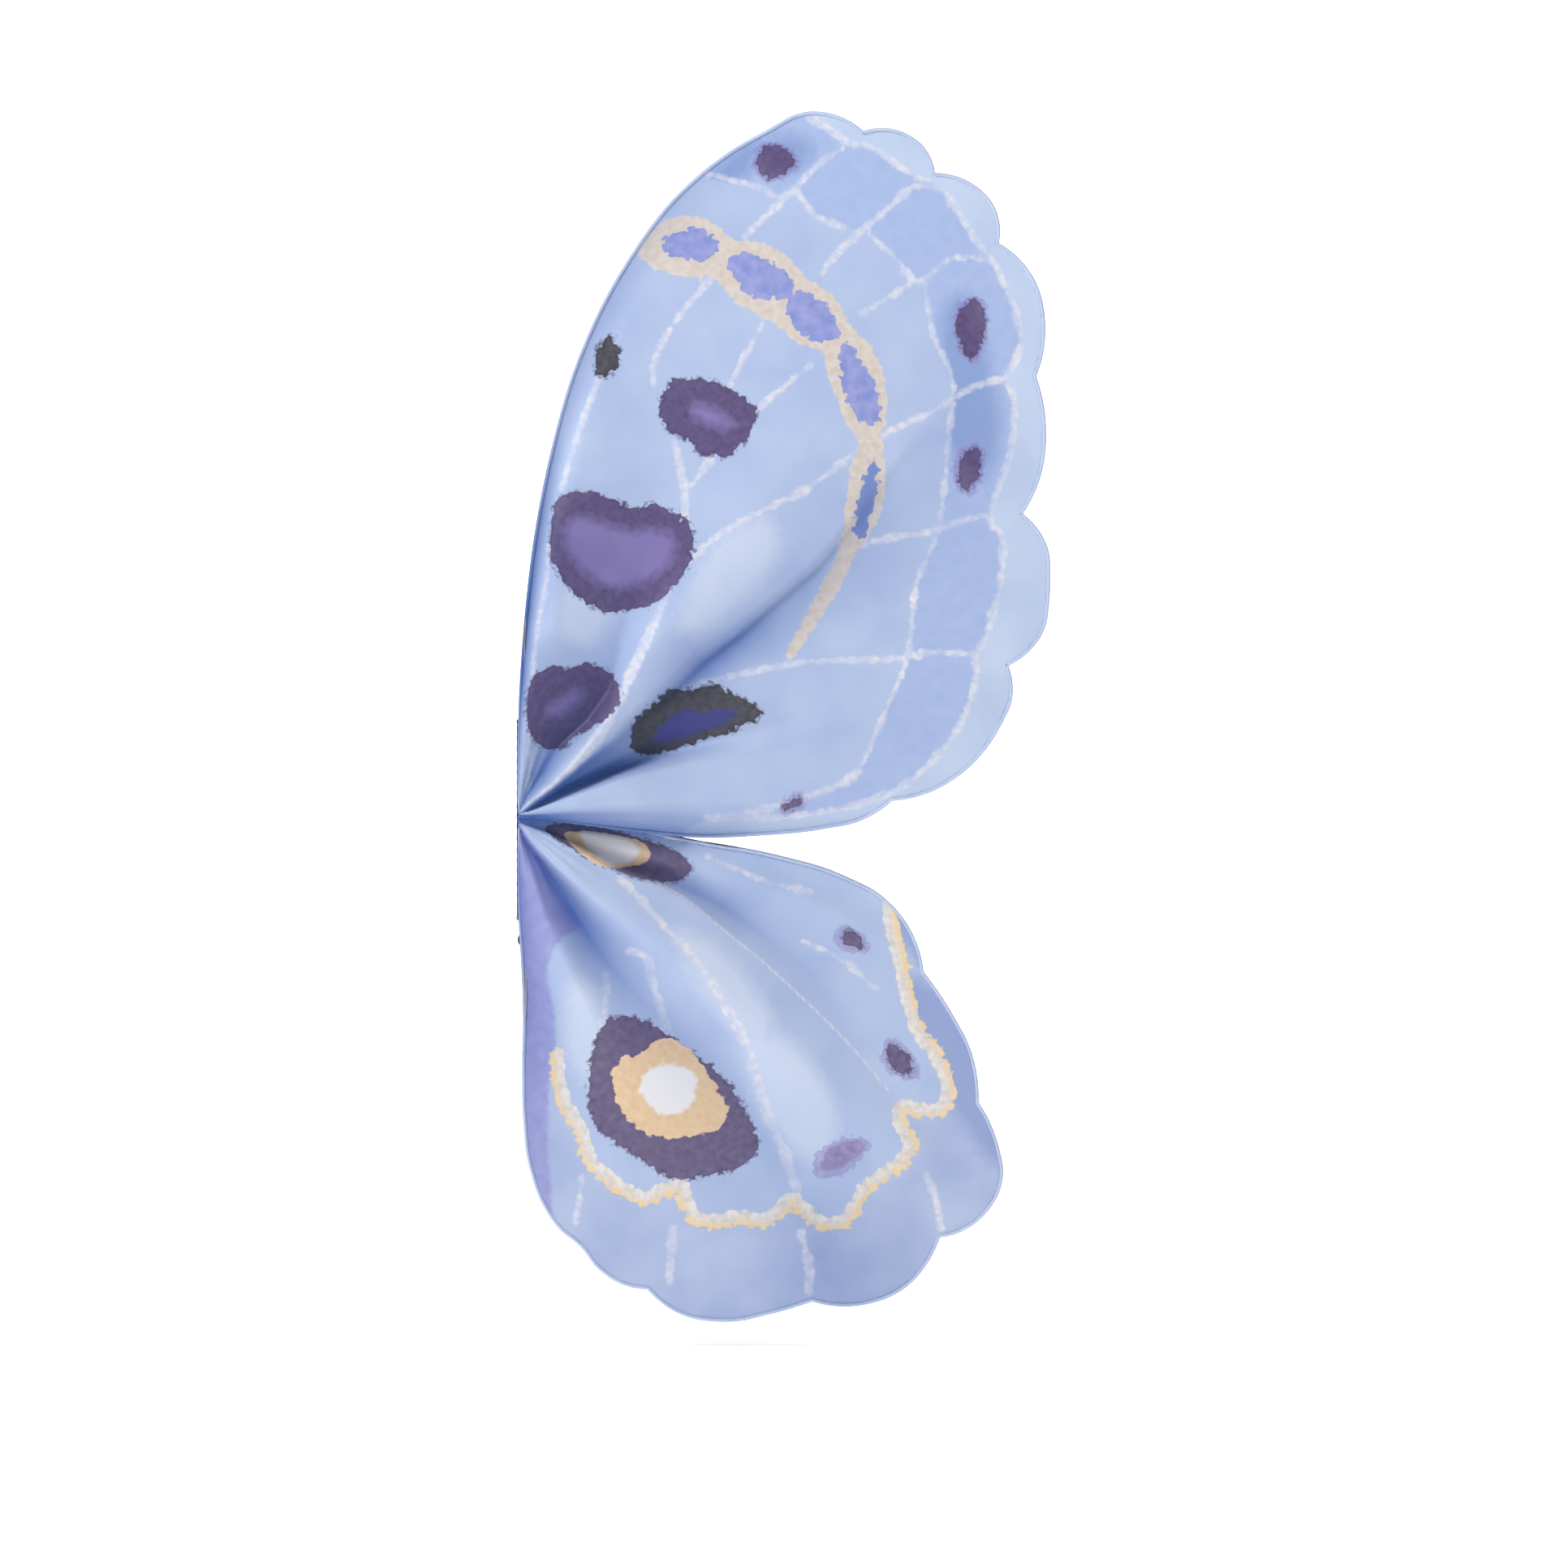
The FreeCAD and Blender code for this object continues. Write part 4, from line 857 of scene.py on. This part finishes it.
def moulded(name, colour, light, roughness, grain):
    """Moulded plastic with a spark-eroded grain."""
    n = Nodes(name)
    place = n.node("ShaderNodeTexCoord").outputs["Object"]
    fine = n.noise(place, grain, 3.0)
    wide = n.noise(place, 60.0, 2.0)
    n.set(base_color=n.mix(n.scaled(wide, 1.6), linear(*colour), linear(*light)),
          roughness=n.scaled(wide, 0.16, roughness, clamp=False))
    n.bump(fine, 0.00005, 0.5)
    return n.material


def drawn_metal(name, colour, light, roughness, stretch):
    """Bare metal with fine lines along its height and faint stains."""
    n = Nodes(name)
    place = n.node("ShaderNodeTexCoord").outputs["Object"]
    mapping = n.node("ShaderNodeMapping")
    n.link(place, mapping.inputs["Vector"])
    mapping.inputs["Scale"].default_value = stretch
    lines = n.noise(mapping.outputs[0], 900.0, 2.0)
    stains = n.noise(place, 90.0, 2.0)
    n.set(base_color=n.mix(n.scaled(stains, 1.8), linear(*colour), linear(*light)),
          roughness=n.scaled(stains, 0.2, roughness, clamp=False), metallic=1.0)
    n.bump(lines, 0.00002, 0.5)
    return n.material


# --- meshes
def row(points, side):
    """(u, y, v) in millimetres, with y counted outwards on the right wing, as places in the row frame."""
    p = np.asarray(points, float)
    return np.column_stack([(p[:, 0] - PAD_FACE_U) * MM, -side * p[:, 1] * MM, p[:, 2] * MM])


def add_mesh(name, points, faces, material, body):
    mesh = bpy.data.meshes.new(name)
    mesh.from_pydata([tuple(p) for p in points], [], [tuple(f) for f in faces])
    mesh.materials.append(material)
    mesh.polygons.foreach_set("use_smooth", [True] * len(mesh.polygons))
    mesh.update()
    obj = bpy.data.objects.new(name, mesh)
    bpy.context.scene.collection.objects.link(obj)
    if body:
        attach(obj, body)
    return obj


def set_field(mesh, name, values):
    mesh.attributes.new(name, "FLOAT", "POINT").data.foreach_set("value", np.asarray(values, np.float32))


def set_place(mesh, places):
    data = mesh.attributes.new("place", "FLOAT_VECTOR", "POINT").data
    data.foreach_set("vector", np.asarray(places, np.float32).ravel())


def applied(obj):
    """The object with its modifiers applied."""
    graph = bpy.context.evaluated_depsgraph_get()
    seen = obj.evaluated_get(graph)
    mesh = bpy.data.meshes.new_from_object(seen, preserve_all_data_layers=True, depsgraph=graph)
    old = obj.data
    obj.modifiers.clear()
    obj.data = mesh
    bpy.data.meshes.remove(old)
    return obj


def thickened(obj, thickness, offset):
    """A sheet made closed, its thickness in millimetres."""
    thick = obj.modifiers.new("thickness", "SOLIDIFY")
    thick.thickness = thickness * MM
    thick.offset = offset
    applied(obj)


def grid_faces(rows, columns, round_rows=False, round_columns=False):
    """Faces between rows of points, joined up at the ends where they go round."""
    faces = []
    for i in range(rows if round_rows else rows - 1):
        for k in range(columns if round_columns else columns - 1):
            j, after = (k + 1) % columns, (i + 1) % rows
            faces.append((i * columns + k, i * columns + j, after * columns + j, after * columns + k))
    return faces


def end_faces(rows, columns):
    return [tuple(range(columns)), tuple((rows - 1) * columns + k for k in range(columns))]


def wing_grid(line, gather):
    """Points inside a closed line on a triangular grid, closer together beside the gather."""
    low, high = line.min(0), line.max(0)
    points = []
    for step, near_root in ((MESH_STEP, False), (ROOT_STEP, True)):
        rise = step * math.sqrt(3) / 2
        u, v = np.meshgrid(np.arange(low[0], high[0], step), np.arange(low[1], high[1], rise))
        u = u + (np.arange(len(v))[:, None] % 2) * step / 2
        some = np.column_stack([u.ravel(), v.ravel()])
        r = np.hypot(some[:, 0] - gather[0], some[:, 1] - gather[1])
        some = some[(r < ROOT_R) if near_root else (r >= ROOT_R + step * 0.6)]
        some = some[inside(some, line)]
        some = some[segment_distance(some, closed(line)) > step * 0.55]
        points.append(some)
    return np.vstack(points)


def wing_line(runs):
    """The middle line of the hem, from the gather round the wing and back."""
    return chain_points(inset_arcs(runs, EDGE_TO_WIRE), 1.25)


def filled(line, inner):
    """A closed line and the points inside it as triangles."""
    edges = [(i, (i + 1) % len(line)) for i in range(len(line))]
    found = delaunay_2d_cdt([Vector(p) for p in np.vstack([line, inner])], edges, [], 1, 1e-4)
    return np.array([tuple(p) for p in found[0]]), np.array([f for f in found[2] if len(f) == 3])


def panel(name, flat, faces, h, shade, fields, side, body, material):
    """One wing panel of satin, with its print and painted fold shade, as a closed sheet."""
    points = row(np.column_stack([flat[:, 0], WING_Y + h, flat[:, 1]]), side)
    a, b, c = (points[faces[:, k]] for k in range(3))
    inwards = np.cross(b - a, c - a)[:, 1] * side > 0
    faces = faces.copy()
    faces[inwards] = faces[inwards][:, ::-1]
    obj = add_mesh(name, points, faces, material, None)
    for ink in INKS:
        set_field(obj.data, ink, fields.get(ink, np.full(len(flat), -FAR)))
    set_field(obj.data, "shade", shade)
    set_place(obj.data, np.column_stack([flat, np.zeros(len(flat))]))
    thickened(obj, SATIN, -1)
    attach(obj, body)
    return obj


def tube_mesh(path, radii, sides):
    """The points and faces of a round tube along a path, with a radius at each point."""
    path = np.asarray(path, float)
    ways = np.gradient(path, axis=0)
    ways /= np.linalg.norm(ways, axis=1)[:, None]
    guide = np.eye(3)[np.abs(ways).max(axis=0).argmin()]
    up = np.cross(ways, guide)
    up /= np.linalg.norm(up, axis=1)[:, None]
    side = np.cross(ways, up)
    rings = []
    for k in range(sides):
        w = 2 * math.pi * k / sides
        rings.append(path + (up * math.cos(w) + side * math.sin(w)) * np.asarray(radii)[:, None])
    faces = grid_faces(len(path), sides, round_columns=True) + end_faces(len(path), sides)
    return np.stack(rings, axis=1).reshape(-1, 3), faces


def tube(name, path, radii, sides, material, body):
    obj = add_mesh(name, *tube_mesh(path, radii, sides), material, body)
    fix_normals(obj)
    return obj


def fix_normals(obj):
    mesh = bmesh.new()
    mesh.from_mesh(obj.data)
    bmesh.ops.recalc_face_normals(mesh, faces=mesh.faces)
    mesh.to_mesh(obj.data)
    mesh.free()


def band(name, line, thickness, material, side, around=False):
    """A flat elastic band of the spine, on edge: line is its middle line as (u, v)."""
    line = np.asarray(line, float)
    ways = np.gradient(line, axis=0)
    if around:
        ways = np.roll(line, -1, 0) - np.roll(line, 1, 0)
    ways /= np.linalg.norm(ways, axis=1)[:, None]
    normal = np.column_stack([-ways[:, 1], ways[:, 0]])
    run = np.concatenate([[0], np.cumsum(np.hypot(*np.diff(line, axis=0).T))])
    # the section goes round: across one face, round the thin edge, back over the other face
    half, soft = STRAP_W / 2, thickness / 2
    section = []
    for sign in (1, -1):
        for share in np.linspace(-1, 1, 11):
            crown = soft * (1 - 0.25 * abs(share) ** 6)
            section.append((sign * share * (half - 0.12), sign * crown))
        section.append((sign * half, 0.0))
    points, places = [], []
    for across, out in section:
        points.append(np.column_stack([line + normal * out, np.full(len(line), STRAP_Y + across)])[:, [0, 2, 1]])
        places.append(np.column_stack([run, np.full(len(line), across), np.full(len(line), out)]))
    faces = grid_faces(len(line), len(section), around, True)
    if not around:
        faces += end_faces(len(line), len(section))
    obj = add_mesh(name, row(np.stack(points, axis=1).reshape(-1, 3), side), faces, material, "spine")
    set_place(obj.data, np.stack(places, axis=1).reshape(-1, 3))
    fix_normals(obj)
    return obj


# --- the two wings
def wing_panels(materials):
    """Both panels of both wings with their hems; the left wing mirrors the right one."""
    kinds = [
        ("upper", UPPER_OUTLINE, UPPER_GATHER, UPPER_FOLDS, upper_print, ROOT_LIFT, ROOT_FLOOR),
        ("lower", LOWER_OUTLINE, LOWER_GATHER, LOWER_FOLDS, lower_print, LOWER_ROOT_LIFT, LOWER_ROOT_FLOOR),
    ]
    for kind, runs, gather, folds, inks, lift, least in kinds:
        line = wing_line(runs)
        flat, faces = filled(line, wing_grid(line, gather))
        h, shade = fold_field(flat, gather, folds, line, lift, least)
        fields = inks(flat)
        line_h, line_shade = fold_field(line, gather, folds, line, lift, least)
        for hand, side in HANDS:
            body = f"{hand}_wing"
            satin = panel(f"{hand}_{kind}_satin_panel", flat, faces, h, shade, fields, side, body,
                          materials["print"])
            r = np.hypot(line[:, 0] - gather[0], line[:, 1] - gather[1])
            radii = HEM_ROOT_R + (HEM_R - HEM_ROOT_R) * smooth(r, 20, 70)
            number = np.arange(len(line))
            radii = radii * (1 + 0.035 * np.sin(number * 1.9) * np.sin(number * 0.37))
            path = row(np.column_stack([line[:, 0], WING_Y + line_h, line[:, 1]]), side)
            hem = tube(f"{hand}_{kind}_satin_hem", path, radii * MM, HEM_SIDES, materials["hem"], body)
            # painted shade along the hem, taken from the folds beside it
            set_field(hem.data, "shade", np.repeat(line_shade, HEM_SIDES))
            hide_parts(f"{hand}_{kind}_wing_satin")
            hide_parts(f"{hand}_{kind}_wing_hem")


def gather_threads(material):
    """The thread that binds the gathered satin to each sewing plate."""
    for hand, side in HANDS:
        turns = []
        for z in BINDING_ROWS:
            for u, lean in zip(BINDING_HOLES, (-0.5, 0.5, -0.5)):
                turns += [(u - 0.7, BINDING_TOP, z - lean), (u, BINDING_TOP + 0.35, z),
                          (u + 0.7, BINDING_TOP + 0.05, z + lean)]
        path = row(rounded(turns, closed=False, cuts=3), side)
        radii = np.full(len(path), THREAD_R * MM)
        thread = tube(f"{hand}_gather_thread", path, radii, 8, material, f"{hand}_wing")


# --- the spine
def rounded_rectangle(half_w, half_h, radius, step):
    """Points round a rectangle in (y, z) with rounded corners."""
    out = []
    flat_w, flat_h = half_w - radius, half_h - radius
    for cx, cz, start in ((1, 1, 0), (-1, 1, 90), (-1, -1, 180), (1, -1, 270)):
        for k in range(9):
            a = math.radians(start + 90 * k / 8)
            out.append((cx * flat_w + radius * math.cos(a), cz * flat_h + radius * math.sin(a)))
    return resampled(out, step)


def stitches(name, line, outward, length, gap, material, radius=STITCH_R):
    """A run of short threads along a line of places in the row frame, each sunk at both ends."""
    length, gap, radius = length * MM, gap * MM, radius * MM
    steps = np.concatenate([[0], np.cumsum(np.linalg.norm(np.diff(line, axis=0), axis=1))])
    points, faces = [], []
    at = gap / 2
    while at + length < steps[-1]:
        path = []
        for share in (0.0, 0.2, 0.5, 0.8, 1.0):
            s = at + length * share
            spot = np.array([np.interp(s, steps, line[:, k]) for k in range(3)])
            rise = radius * (-0.9 + 1.7 * math.sin(math.pi * share) ** 0.6)
            path.append(spot + np.asarray(outward) * rise)
        radii = [radius * 0.7, radius, radius, radius, radius * 0.7]
        ring_points, ring_faces = tube_mesh(np.array(path), radii, 6)
        faces += [tuple(i + len(points) for i in f) for f in ring_faces]
        points += list(ring_points)
        at += length + gap
    obj = add_mesh(name, points, faces, material, "spine")
    fix_normals(obj)


def spine_strip(materials):
    """The satin strip over the outside of the spine, puckered where it is stitched along its border."""
    half_w, half_h = STRIP_HALF
    line = rounded_rectangle(half_w, half_h, 3.0, 0.8)
    y, z = np.meshgrid(np.arange(-half_w, half_w, 0.8), np.arange(-half_h, half_h, 0.7))
    grid = np.column_stack([y.ravel(), z.ravel()])
    grid = grid[inside(grid, line)]
    grid = grid[segment_distance(grid, closed(line)) > 0.45]
    flat, faces = filled(line, grid)
    edge = segment_distance(flat, closed(line))
    seam = np.exp(-((edge - STRIP_SEAM) / 0.55) ** 2)
    pucker = 0.06 * np.sin(flat[:, 1] * 2.1 + flat[:, 0]) * np.exp(-edge / 2.5)
    ease = 0.1 * np.sin(flat[:, 1] * 0.23 + 1.0) * np.sin(flat[:, 0] * 0.5)
    u = 0.32 + 0.16 * seam - pucker - ease * smooth(edge, 2, 5)
    points = np.column_stack([(u - PAD_FACE_U) * MM, flat[:, 0] * MM, flat[:, 1] * MM])
    strip = add_mesh("spine_satin_strip", points, faces, materials["spine"], None)
    thickened(strip, STRIP_T, 1 if strip.data.polygons[0].normal.x > 0 else -1)
    fix_normals(strip)
    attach(strip, "spine")
    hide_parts("spine_cover")
    seam_line = closed(rounded_rectangle(half_w - STRIP_SEAM, half_h - STRIP_SEAM, 2.0, 0.6))
    route = np.column_stack([np.full(len(seam_line), (0.44 - PAD_FACE_U) * MM), seam_line * MM])
    stitches("spine_strip_stitches", route, (-1, 0, 0), 1.7, 0.7, materials["thread"])


def hinge_flaps(material):
    """The satin flap over each hinge, from the spine strip to the gathered edge of the wing, hemmed at its ends."""
    low, high = FLAP_Z
    zz, ss = np.meshgrid(np.linspace(low, high, FLAP_ROWS), np.linspace(0, 1, FLAP_COLUMNS), indexing="ij")
    edge = WING_Y + ROOT_LIFT * (1 - smooth(np.abs(zz), *ROOT_LIFT_R)) - 1.4
    y = FLAP_START_Y + (edge - FLAP_START_Y) * ss
    ripple = 0.10 * np.sin(zz * 1.15 + 0.6 * np.sin(zz * 0.31)) * (0.25 + 0.75 * ss)
    end = np.minimum(zz - low, high - zz)
    rolled = 0.3 * np.exp(-((end - 1.1) / 0.7) ** 2) - 0.12 * np.exp(-((end - 2.5) / 0.4) ** 2)
    u = 0.02 - ripple - 0.14 * np.sin(math.pi * ss) - rolled
    for hand, side in HANDS:
        points = row(np.column_stack([u.ravel(), y.ravel(), zz.ravel()]), side)
        flap = add_mesh(f"{hand}_hinge_flap", points, grid_faces(FLAP_ROWS, FLAP_COLUMNS), material, None)
        thickened(flap, FLAP_T, 1 if flap.data.polygons[0].normal.x > 0 else -1)
        fix_normals(flap)
        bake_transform(flap)


def pad_block(size, middle, material):
    """The pad as a soft-edged block of even small faces."""
    mesh = bmesh.new()
    bmesh.ops.create_cube(mesh, size=1.0)
    bmesh.ops.scale(mesh, vec=(size.x * 0.86, size.y * 0.94, size.z * 0.97), verts=mesh.verts)
    bmesh.ops.bevel(mesh, geom=mesh.edges, offset=PAD_BEVEL * MM, segments=4, affect="EDGES")
    bmesh.ops.translate(mesh, vec=middle, verts=mesh.verts)
    data = bpy.data.meshes.new("back_pad_cover")
    mesh.to_mesh(data)
    mesh.free()
    data.materials.append(material)
    pad = bpy.data.objects.new("back_pad_cover", data)
    bpy.context.scene.collection.objects.link(pad)
    remesh = pad.modifiers.new("remesh", "REMESH")
    remesh.mode = "VOXEL"
    remesh.voxel_size = PAD_VOXEL * MM
    return applied(pad)


def swollen(pad):
    """Where the cover's points are once the foam has pushed it out, by no more than the seams let it."""
    start = np.array([v.co for v in pad.data.vertices])
    cloth = pad.modifiers.new("cloth", "CLOTH")
    cloth.settings.use_pressure = True
    cloth.settings.uniform_pressure_force = PAD_PRESSURE
    cloth.settings.effector_weights.gravity = 0
    scene = bpy.context.scene
    for number in range(1, PAD_FRAMES + 1):
        scene.frame_set(number)
    applied(pad)
    scene.frame_set(1)
    move = np.array([v.co for v in pad.data.vertices]) - start
    far = np.linalg.norm(move, axis=1)[:, None]
    return start + move * np.minimum(1, PAD_SWELL * MM / np.maximum(far, 1e-9))


def padded_back(materials):
    """The foam pad in its satin cover, swollen inside the cover, with piping round its middle."""
    size, middle = PAD_HIGH - PAD_LOW, (PAD_HIGH + PAD_LOW) / 2
    pad = pad_block(size, middle, materials["pad"])
    now = swollen(pad)
    # the cover is crowned towards the wearer, and lies flat on the plate
    y, z = (now[:, 1] - middle.y) / (size.y / 2), (now[:, 2] - middle.z) / (size.z / 2)
    crown = np.clip(1 - y**2, 0, 1) ** 0.5 * np.clip(1 - z**4, 0, 1) ** 0.5
    front = smooth((now[:, 0] - middle.x) / size.x, 0, 0.4)
    channel = sum(np.exp(-((now[:, 2] - middle.z - k * MM) / CHANNEL_W / MM) ** 2) for k in PAD_CHANNELS)
    now[:, 0] += front * (PAD_CROWN * crown - CHANNEL_DIP * channel) * MM
    wrinkle = np.sin(now[:, 2] * 900 + 2 * np.sin(now[:, 1] * 260)) * (np.abs(y) ** 3)
    now[:, 0] += PAD_WRINKLE * wrinkle * front * MM
    most = np.array(PAD_HIGH) + np.array([PAD_PROUD * MM, 0, 0])
    now = np.clip(now, np.array(PAD_LOW) + PAD_INSIDE * MM, most)
    pad.data.vertices.foreach_set("co", now.astype(np.float32).ravel())
    finer = pad.modifiers.new("finer", "SUBSURF")
    finer.levels = finer.render_levels = 1
    applied(pad)
    pad.data.polygons.foreach_set("use_smooth", [True] * len(pad.data.polygons))
    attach(pad, "spine")
    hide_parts("back_pad")
    half_w, half_h = size.y / 2 / MM - PIPING_IN, size.z / 2 / MM - PIPING_IN
    route = closed(rounded_rectangle(half_w, half_h, 5.0, 1.0))
    path = np.column_stack([np.full(len(route), middle.x), route * MM])
    piping = tube("back_pad_piping", path, np.full(len(path), PIPING_R * MM), 10, materials["hem"], "spine")
    for number, channel in enumerate(PAD_CHANNELS):
        height = middle.z + channel * MM
        y = np.linspace(-CHANNEL_HALF, CHANNEL_HALF, 40) * MM
        depth = []
        for a in y:
            close = (np.abs(now[:, 1] - a) < 0.0012) & (np.abs(now[:, 2] - height) < 0.0012)
            depth.append(now[close, 0].max() if close.any() else PAD_HIGH.x - 0.001)
        line = np.column_stack([depth, y, np.full(len(y), height)])
        name = f"back_pad_stitches_{number + 1}"
        stitches(name, line, (1, 0, 0), 1.6, 0.8, materials["thread"])


# --- the straps
def strap_run():
    start = STRAP_LOOP[-1]
    way = unit((RING_BAR[0] - start[0], RING_BAR[1] - start[1]))
    return moved(start, way, LAYER_GAP / 2), moved(RING_BAR, way, LAYER_GAP / 2), way


def strap_line():
    start, end, way = strap_run()
    loop = run_arcs([*STRAP_LOOP[:-1], start], start=unit(STRAP_START), end=way)
    turn_end = moved(end, way, -LAYER_GAP)
    top = (RING_BAR[0] + way[0] * LAYER_GAP / 2, RING_BAR[1] + way[1] * LAYER_GAP / 2)
    back = (-way[0], -way[1])
    tail_end = (turn_end[0] + back[0] * STRAP_TAIL, turn_end[1] + back[1] * STRAP_TAIL)
    turn = [(end, way, top), (top, (-way[1], way[0]), turn_end)]
    return chain_points([*loop, (start, way, end), *turn, (turn_end, back, tail_end)], 0.9)


def loop_line(c1, r1, c2, r2):
    """A closed line round two circles."""
    dx, dz = c2[0] - c1[0], c2[1] - c1[1]
    far, way = math.hypot(dx, dz), math.atan2(dz, dx)
    lean = math.acos((r1 - r2) / far)
    points = []
    for (cx, cz), r, a, b in ((c2, r2, way + lean, way - lean), (c1, r1, way - lean, way + lean - 2 * math.pi)):
        for k in range(17):
            w = a + (b - a) * k / 16
            points.append((cx + r * math.cos(w), cz + r * math.sin(w)))
    return resampled(points, 0.6)


def straps(materials):
    """Both shoulder straps with their tabs, and the stitches that hold each strap's tail."""
    _, _, way = strap_run()
    tab_bar = (RING_BAR[0] + way[0] * RING_GAP, RING_BAR[1] + way[1] * RING_GAP)
    line, bar_r = strap_line(), TAB_R + TAB_CLEAR
    bands = [
        ("strap", line, STRAP_T, False),
        ("ring_tab", loop_line(UPPER_BAR, bar_r, tab_bar, 1.8), TAB_T, True),
        ("lower_tab", loop_line(LOWER_BAR, bar_r, LOWER_TAB_END, 0.9), TAB_T, True),
    ]
    tail = line[-8:-1]
    out = np.array([-way[1], way[0]]) * (STRAP_T / 2 + 0.05)
    for hand, side in HANDS:
        for name, middle, thickness, around in bands:
            piece = band(f"{hand}_elastic_{name}", middle, thickness, materials["elastic"], side, around)
            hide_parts(f"{hand}_{name}")
        for number, across in enumerate((-2.6, 2.6)):
            places = [tail[:, 0] + out[0], np.full(len(tail), STRAP_Y + across), tail[:, 1] + out[1]]
            stitches(f"{hand}_strap_stitches_{number + 1}", row(np.column_stack(places), side), (out[0], 0, out[1]),
                     1.4, 0.6, materials["thread_dark"], 0.18)


# --- everything
def finish_cad_nodes():
    """Materials on the CAD pieces that stay as they are."""
    plate = moulded("moulded_nylon", (205, 207, 216), (226, 228, 236), 0.5, 2600.0)
    gloss = moulded("gloss_acetal", (22, 22, 26), (40, 40, 46), 0.24, 900.0)
    wire = drawn_metal("spring_steel_wire", (150, 152, 158), (186, 188, 194), 0.28, (1, 1, 1))
    rod = drawn_metal("rod_steel_turned", (166, 168, 174), (204, 206, 212), 0.22, (1, 1, 0.03))
    alloy = drawn_metal("aluminium_pressed", (176, 178, 184), (212, 214, 220), 0.34, (0.3, 0.3, 1))
    kinds = {
        "spine_plate": plate, "pad_studs": plate, "root_block": plate, "sewing_plate": plate,
        "strap_slider": gloss, "wing_wire": wire, "strap_ring": wire, "pivot_rod": rod, "rod_ferrules": alloy,
        "plate_rivets": alloy,
    }
    for name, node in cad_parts.items():
        for ending, material in kinds.items():
            if name.endswith(ending):
                node.data.materials.clear()
                node.data.materials.append(material)


def light(name, place, aim, size, watts):
    lamp = bpy.data.lights.new(name, "AREA")
    lamp.shape, lamp.size, lamp.size_y = "RECTANGLE", size, size
    lamp.energy = watts
    obj = bpy.data.objects.new(name, lamp)
    bpy.context.scene.collection.objects.link(obj)
    obj.location = place
    obj.rotation_euler = (Vector(aim) - Vector(place)).to_track_quat("-Z", "Y").to_euler()
    return obj


def studio():
    """A pale sweep under and behind the wings, soft light from the front, and the camera square on."""
    low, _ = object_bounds()
    floor_z = low.z - FLOOR_GAP
    n = Nodes("studio_sweep")
    place = n.node("ShaderNodeTexCoord").outputs["Object"]
    tone = n.mix(n.scaled(n.noise(place, 1.5, 2.0), 0.02), (0.93, 0.93, 0.93, 1), (0.96, 0.96, 0.96, 1))
    away = n.node("ShaderNodeVectorMath", operation="LENGTH")
    n.link(place, away.inputs[0])
    far = n.math("MULTIPLY", n.math("SUBTRACT", away.outputs["Value"], 1.6), 0.8, clamp=True)
    n.set(base_color=tone, roughness=0.9, emission_color=(1, 1, 1, 1),
          emission_strength=n.scaled(far, 1.0 - SWEEP_GLOW, SWEEP_GLOW, clamp=False))
    section = [(-SWEEP_REACH, 0.0), (SWEEP_BEND, 0.0)]
    for a in range(6, 91, 6):
        rise = math.radians(a)
        section.append((SWEEP_BEND + SWEEP_R * math.sin(rise), SWEEP_R - SWEEP_R * math.cos(rise)))
    section.append((SWEEP_BEND + SWEEP_R, SWEEP_REACH))
    points = [(x, y, floor_z + z) for x in (-SWEEP_REACH, SWEEP_REACH) for y, z in section]
    sweep = add_mesh("studio_sweep", points, grid_faces(2, len(section)), n.material, None)
    sweep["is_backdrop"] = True
    world = bpy.data.worlds.new("studio")
    bpy.context.scene.world = world
    world.use_nodes = True
    sky = world.node_tree.nodes["Background"]
    sky.inputs["Color"].default_value = (1.0, 1.0, 1.0, 1)
    # the sky looks white beyond the sweep, and lights the wings only a little
    seen = world.node_tree.nodes.new("ShaderNodeLightPath").outputs["Is Camera Ray"]
    strength = world.node_tree.nodes.new("ShaderNodeMath")
    strength.operation = "MAXIMUM"
    strength.inputs[1].default_value = WORLD_LIGHT
    world.node_tree.links.new(seen, strength.inputs[0])
    world.node_tree.links.new(strength.outputs[0], sky.inputs["Strength"])
    aim = (VIEW_X, 0, 0.03)
    lights = [
        light("key_softbox", (-1.1, -1.15, 1.9), aim, 0.7, KEY_WATTS),
        light("fill_softbox", (1.5, -2.0, 0.2), aim, 1.4, FILL_WATTS),
        light("back_softbox", (-0.4, 1.5, 1.3), aim, 1.0, FILL_WATTS),
    ]
    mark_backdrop(*lights)
    lens = bpy.data.cameras.new("camera")
    lens.sensor_width = SENSOR
    lens.lens = SENSOR * VIEW_DISTANCE / VIEW_WIDTH
    lens.dof.use_dof = False
    camera = bpy.data.objects.new("camera", lens)
    bpy.context.scene.collection.objects.link(camera)
    camera.location = (VIEW_X, -WING_Y * MM - VIEW_DISTANCE, VIEW_Z)
    camera.rotation_euler = (math.pi / 2, 0, 0)
    bpy.context.scene.camera = camera
    bpy.context.scene.view_settings.view_transform = "Standard"


def main():
    materials = {
        "print": printed_satin(),
        "hem": plain_satin("hem_satin", (196, 208, 235), (180, 195, 228)),
        "spine": plain_satin("spine_satin", (118, 136, 192), (100, 118, 178)),
        "pad": plain_satin("pad_satin", (178, 192, 230), (162, 178, 220)),
        "elastic": woven_elastic(),
        "thread": plain_satin("pale_thread", (206, 212, 236), (184, 192, 224)),
        "thread_dark": plain_satin("dark_thread", (62, 62, 70), (40, 40, 46)),
    }
    wing_panels(materials)
    gather_threads(materials["thread"])
    spine_strip(materials)
    hinge_flaps(materials["spine"])
    padded_back(materials)
    straps(materials)
    finish_cad_nodes()
    studio()


main()
